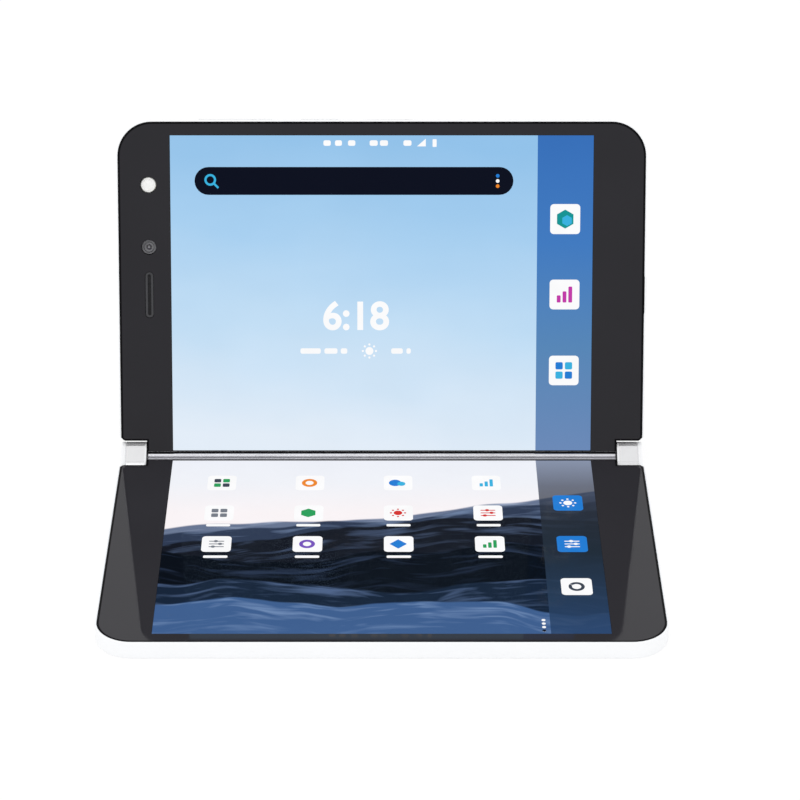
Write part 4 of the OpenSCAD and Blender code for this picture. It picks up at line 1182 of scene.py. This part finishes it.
for step, name in enumerate(upperPage["dots"]):
    discSymbol(bm, name, end - dotX, y + (1 - step) * dotStep, dotRadius)
addDigits(bm, "white", "6:18", *upperPage["clock"])
for line in ("date", "status"):
    for middle, wide in upperPage[line]:
        symbol(bm, "white", boxPoints(middle, upperPage[line + "Y"], wide, *upperPage["bar"]))
sunX, sunSize = upperPage["sun"]
sunSymbol(bm, "white", sunX, upperPage["dateY"], sunSize)
symbol(bm, "white", upperPage["signal"])
symbol(bm, "white", boxPoints(*upperPage["charge"]))
dockX, size = upperPage["dockX"], upperPage["tile"]
for dockY in upperPage["dockY"]:
    symbolTiles(bm, "white", (dockX, dockY), (size, size), 1.0)
first, second, third = upperPage["dockY"]
polygonSymbol(bm, "teal", dockX, first, 2.6, 6)
polygonSymbol(bm, "cyan", dockX + 0.5, first - 0.4, 1.5, 6, 2)
barsSymbol(bm, "magenta", dockX, second, 4.4)
squaresSymbol(bm, ("blue", "cyan", "cyan", "blue"), dockX, third, 4.8)
newPiece("upper_screen_page", bm, upperHalf, symbolFinishes, slot="upper_screen")

# Lower screen: millimetres across from the middle and towards the viewer from the shaft
lowerPage = {
    "columns": (-43.6, -19.7, 4.35, 28.5),
    "rows": (12.5, 28.3, 44.1),
    "tile": (7.8, 7.8),
    "label": (6.4, 1.2),
    "labelDrop": 6.3,
    # Symbol, tone and sizes of each icon, row by row
    "icons": (
        ((squaresSymbol, ("slate", "green", "green", "slate"), 4.4), (ringSymbol, "orange", 2.1, 1.1),
         (pairSymbol, ("blue", "cyan"), 1.7, 1.1), (barsSymbol, "cyan", 3.8)),
        ((squaresSymbol, ("grey",) * 4, 4.4), (polygonSymbol, "green", 2.2, 6),
         (sunSymbol, "red", 4.4), (slidersSymbol, "red", 4.0)),
        ((slidersSymbol, "grey", 4.0), (ringSymbol, "purple", 2.1, 1.1),
         (polygonSymbol, "blue", 2.3, 4), (barsSymbol, "green", 3.8)),
    ),
    "dockX": 50.2,
    "dockTile": (8.0, 8.0),
    "dock": ((23.1, "blue", sunSymbol, "white", 4.6), (44.1, "blue", slidersSymbol, "white", 4.0),
             (64.9, "white", ringSymbol, "slate", 2.1, 1.2)),
    "dots": (40.9, -83.0),
    "dotSize": (1.0, 1.0),
    "dotStep": 1.6,
}
bm = bmesh.new()
columns, rows = lowerPage["columns"], lowerPage["rows"]
gridStep = ((columns[-1] - columns[0]) / 3, rows[1] - rows[0])
middleX, middleY = (columns[0] + columns[-1]) / 2, -(rows[0] + rows[-1]) / 2
symbolTiles(bm, "white", (middleX, middleY), lowerPage["tile"], 1.1, columns=4, rows=3, step=gridStep)
symbolTiles(bm, "white", (middleX, middleY - gridStep[1] / 2 - lowerPage["labelDrop"]),
            lowerPage["label"], 0.4, columns=4, rows=2, step=gridStep)
for y, icons in zip(rows, lowerPage["icons"]):
    for x, (maker, toneName, *sizes) in zip(columns, icons):
        maker(bm, toneName, x, -y, *sizes)
for y, tileTone, maker, toneName, *sizes in lowerPage["dock"]:
    symbolTiles(bm, tileTone, (lowerPage["dockX"], -y), lowerPage["dockTile"], 1.1)
    maker(bm, toneName, lowerPage["dockX"], -y, *sizes)
symbolTiles(bm, "white", lowerPage["dots"], lowerPage["dotSize"], 0.49, rows=4,
            step=(0.0, lowerPage["dotStep"]))
newPiece("lower_screen_page", bm, (lowerScreenSpace, "lower_half"), symbolFinishes,
         slot="lower_screen")
print("screen pages made")

# Every carried-over node gets the worked-out finish of its slot
for node in frame["nodes"].values():
    for place in node.material_slots:
        name = place.material.name.split(".")[0] if place.material else ""
        if name in finishFor:
            place.material = finishFor[name]

# Floor, light and camera. Where the floor is seen it is dim and glows by itself, so that it stays
# white with a faint shadow; for the light that it throws back at the phone it is a bright plain face.
stageLook = {"size": 6.0, "seenDiffuse": 0.22, "seenGlow": 0.80, "bounce": 0.96, "lampPower": 0.8,
             "lampSize": 0.7, "lampPlace": (-0.25, -0.55, 1.0)}
bm = bmesh.new()
bmesh.ops.create_grid(bm, x_segments=8, y_segments=8, size=stageLook["size"] / 2)
floor = addObject("floor", toMesh("floor", bm))
floorFinish, tree, shader = startFinish("pale floor")
rays = tree.nodes.new("ShaderNodeLightPath").outputs
seen = mathNode(tree, "ADD", rays["Is Camera Ray"], rays["Is Glossy Ray"])
seen = mathNode(tree, "MINIMUM", mathNode(tree, "ADD", seen, rays["Is Transmission Ray"]), 1.0)
level = spread(tree, seen, stageLook["bounce"], stageLook["seenDiffuse"], 0.0, 1.0)
glow = addNode(tree, "Emission", Color=(1, 1, 1),
               Strength=spread(tree, seen, 0.0, stageLook["seenGlow"], 0.0, 1.0))
useAsSurface(tree, shader, addNode(tree, "AddShader", at0=addNode(tree, "BsdfDiffuse", Color=level),
                                   at1=glow))
floor.data.materials.append(floorFinish)

world = bpy.data.worlds.new("studio")
bpy.context.scene.world = world
world.use_nodes = True
fillInputs(world.node_tree, world.node_tree.nodes["Background"],
           {"Color": (1, 1, 1), "Strength": 1.0})

lamp = bpy.data.lights.new("soft lamp", "AREA")
lamp.shape = "DISK"
lamp.size = stageLook["lampSize"]
lamp.energy = stageLook["lampPower"]
lampObject = addObject("soft lamp", lamp)
lampObject.location = stageLook["lampPlace"]
lampObject.rotation_euler = (lowerShaft - lampObject.location).to_track_quat("-Z", "Y").to_euler()

viewLook = {"lens": 131.95, "distance": 0.8123, "elevation": 30.37, "rise": 0.00095,
            "shift": (0.0228, 0.0879)}
camera = bpy.data.cameras.new("camera")
camera.lens = viewLook["lens"]
camera.sensor_width = 36.0
camera.shift_x, camera.shift_y = viewLook["shift"]
camera.clip_start = 0.01
cameraObject = addObject("camera", camera)
tilt = math.radians(viewLook["elevation"])
forward = Vector((0, math.cos(tilt), -math.sin(tilt)))
upward = Vector((0, math.sin(tilt), math.cos(tilt)))
cameraObject.location = lowerShaft - viewLook["distance"] * forward - viewLook["rise"] * upward
cameraObject.rotation_euler = (math.pi / 2 - tilt, 0, 0)
bpy.context.scene.camera = cameraObject
bpy.context.scene.view_settings.view_transform = "Standard"
print("floor, light and camera set")
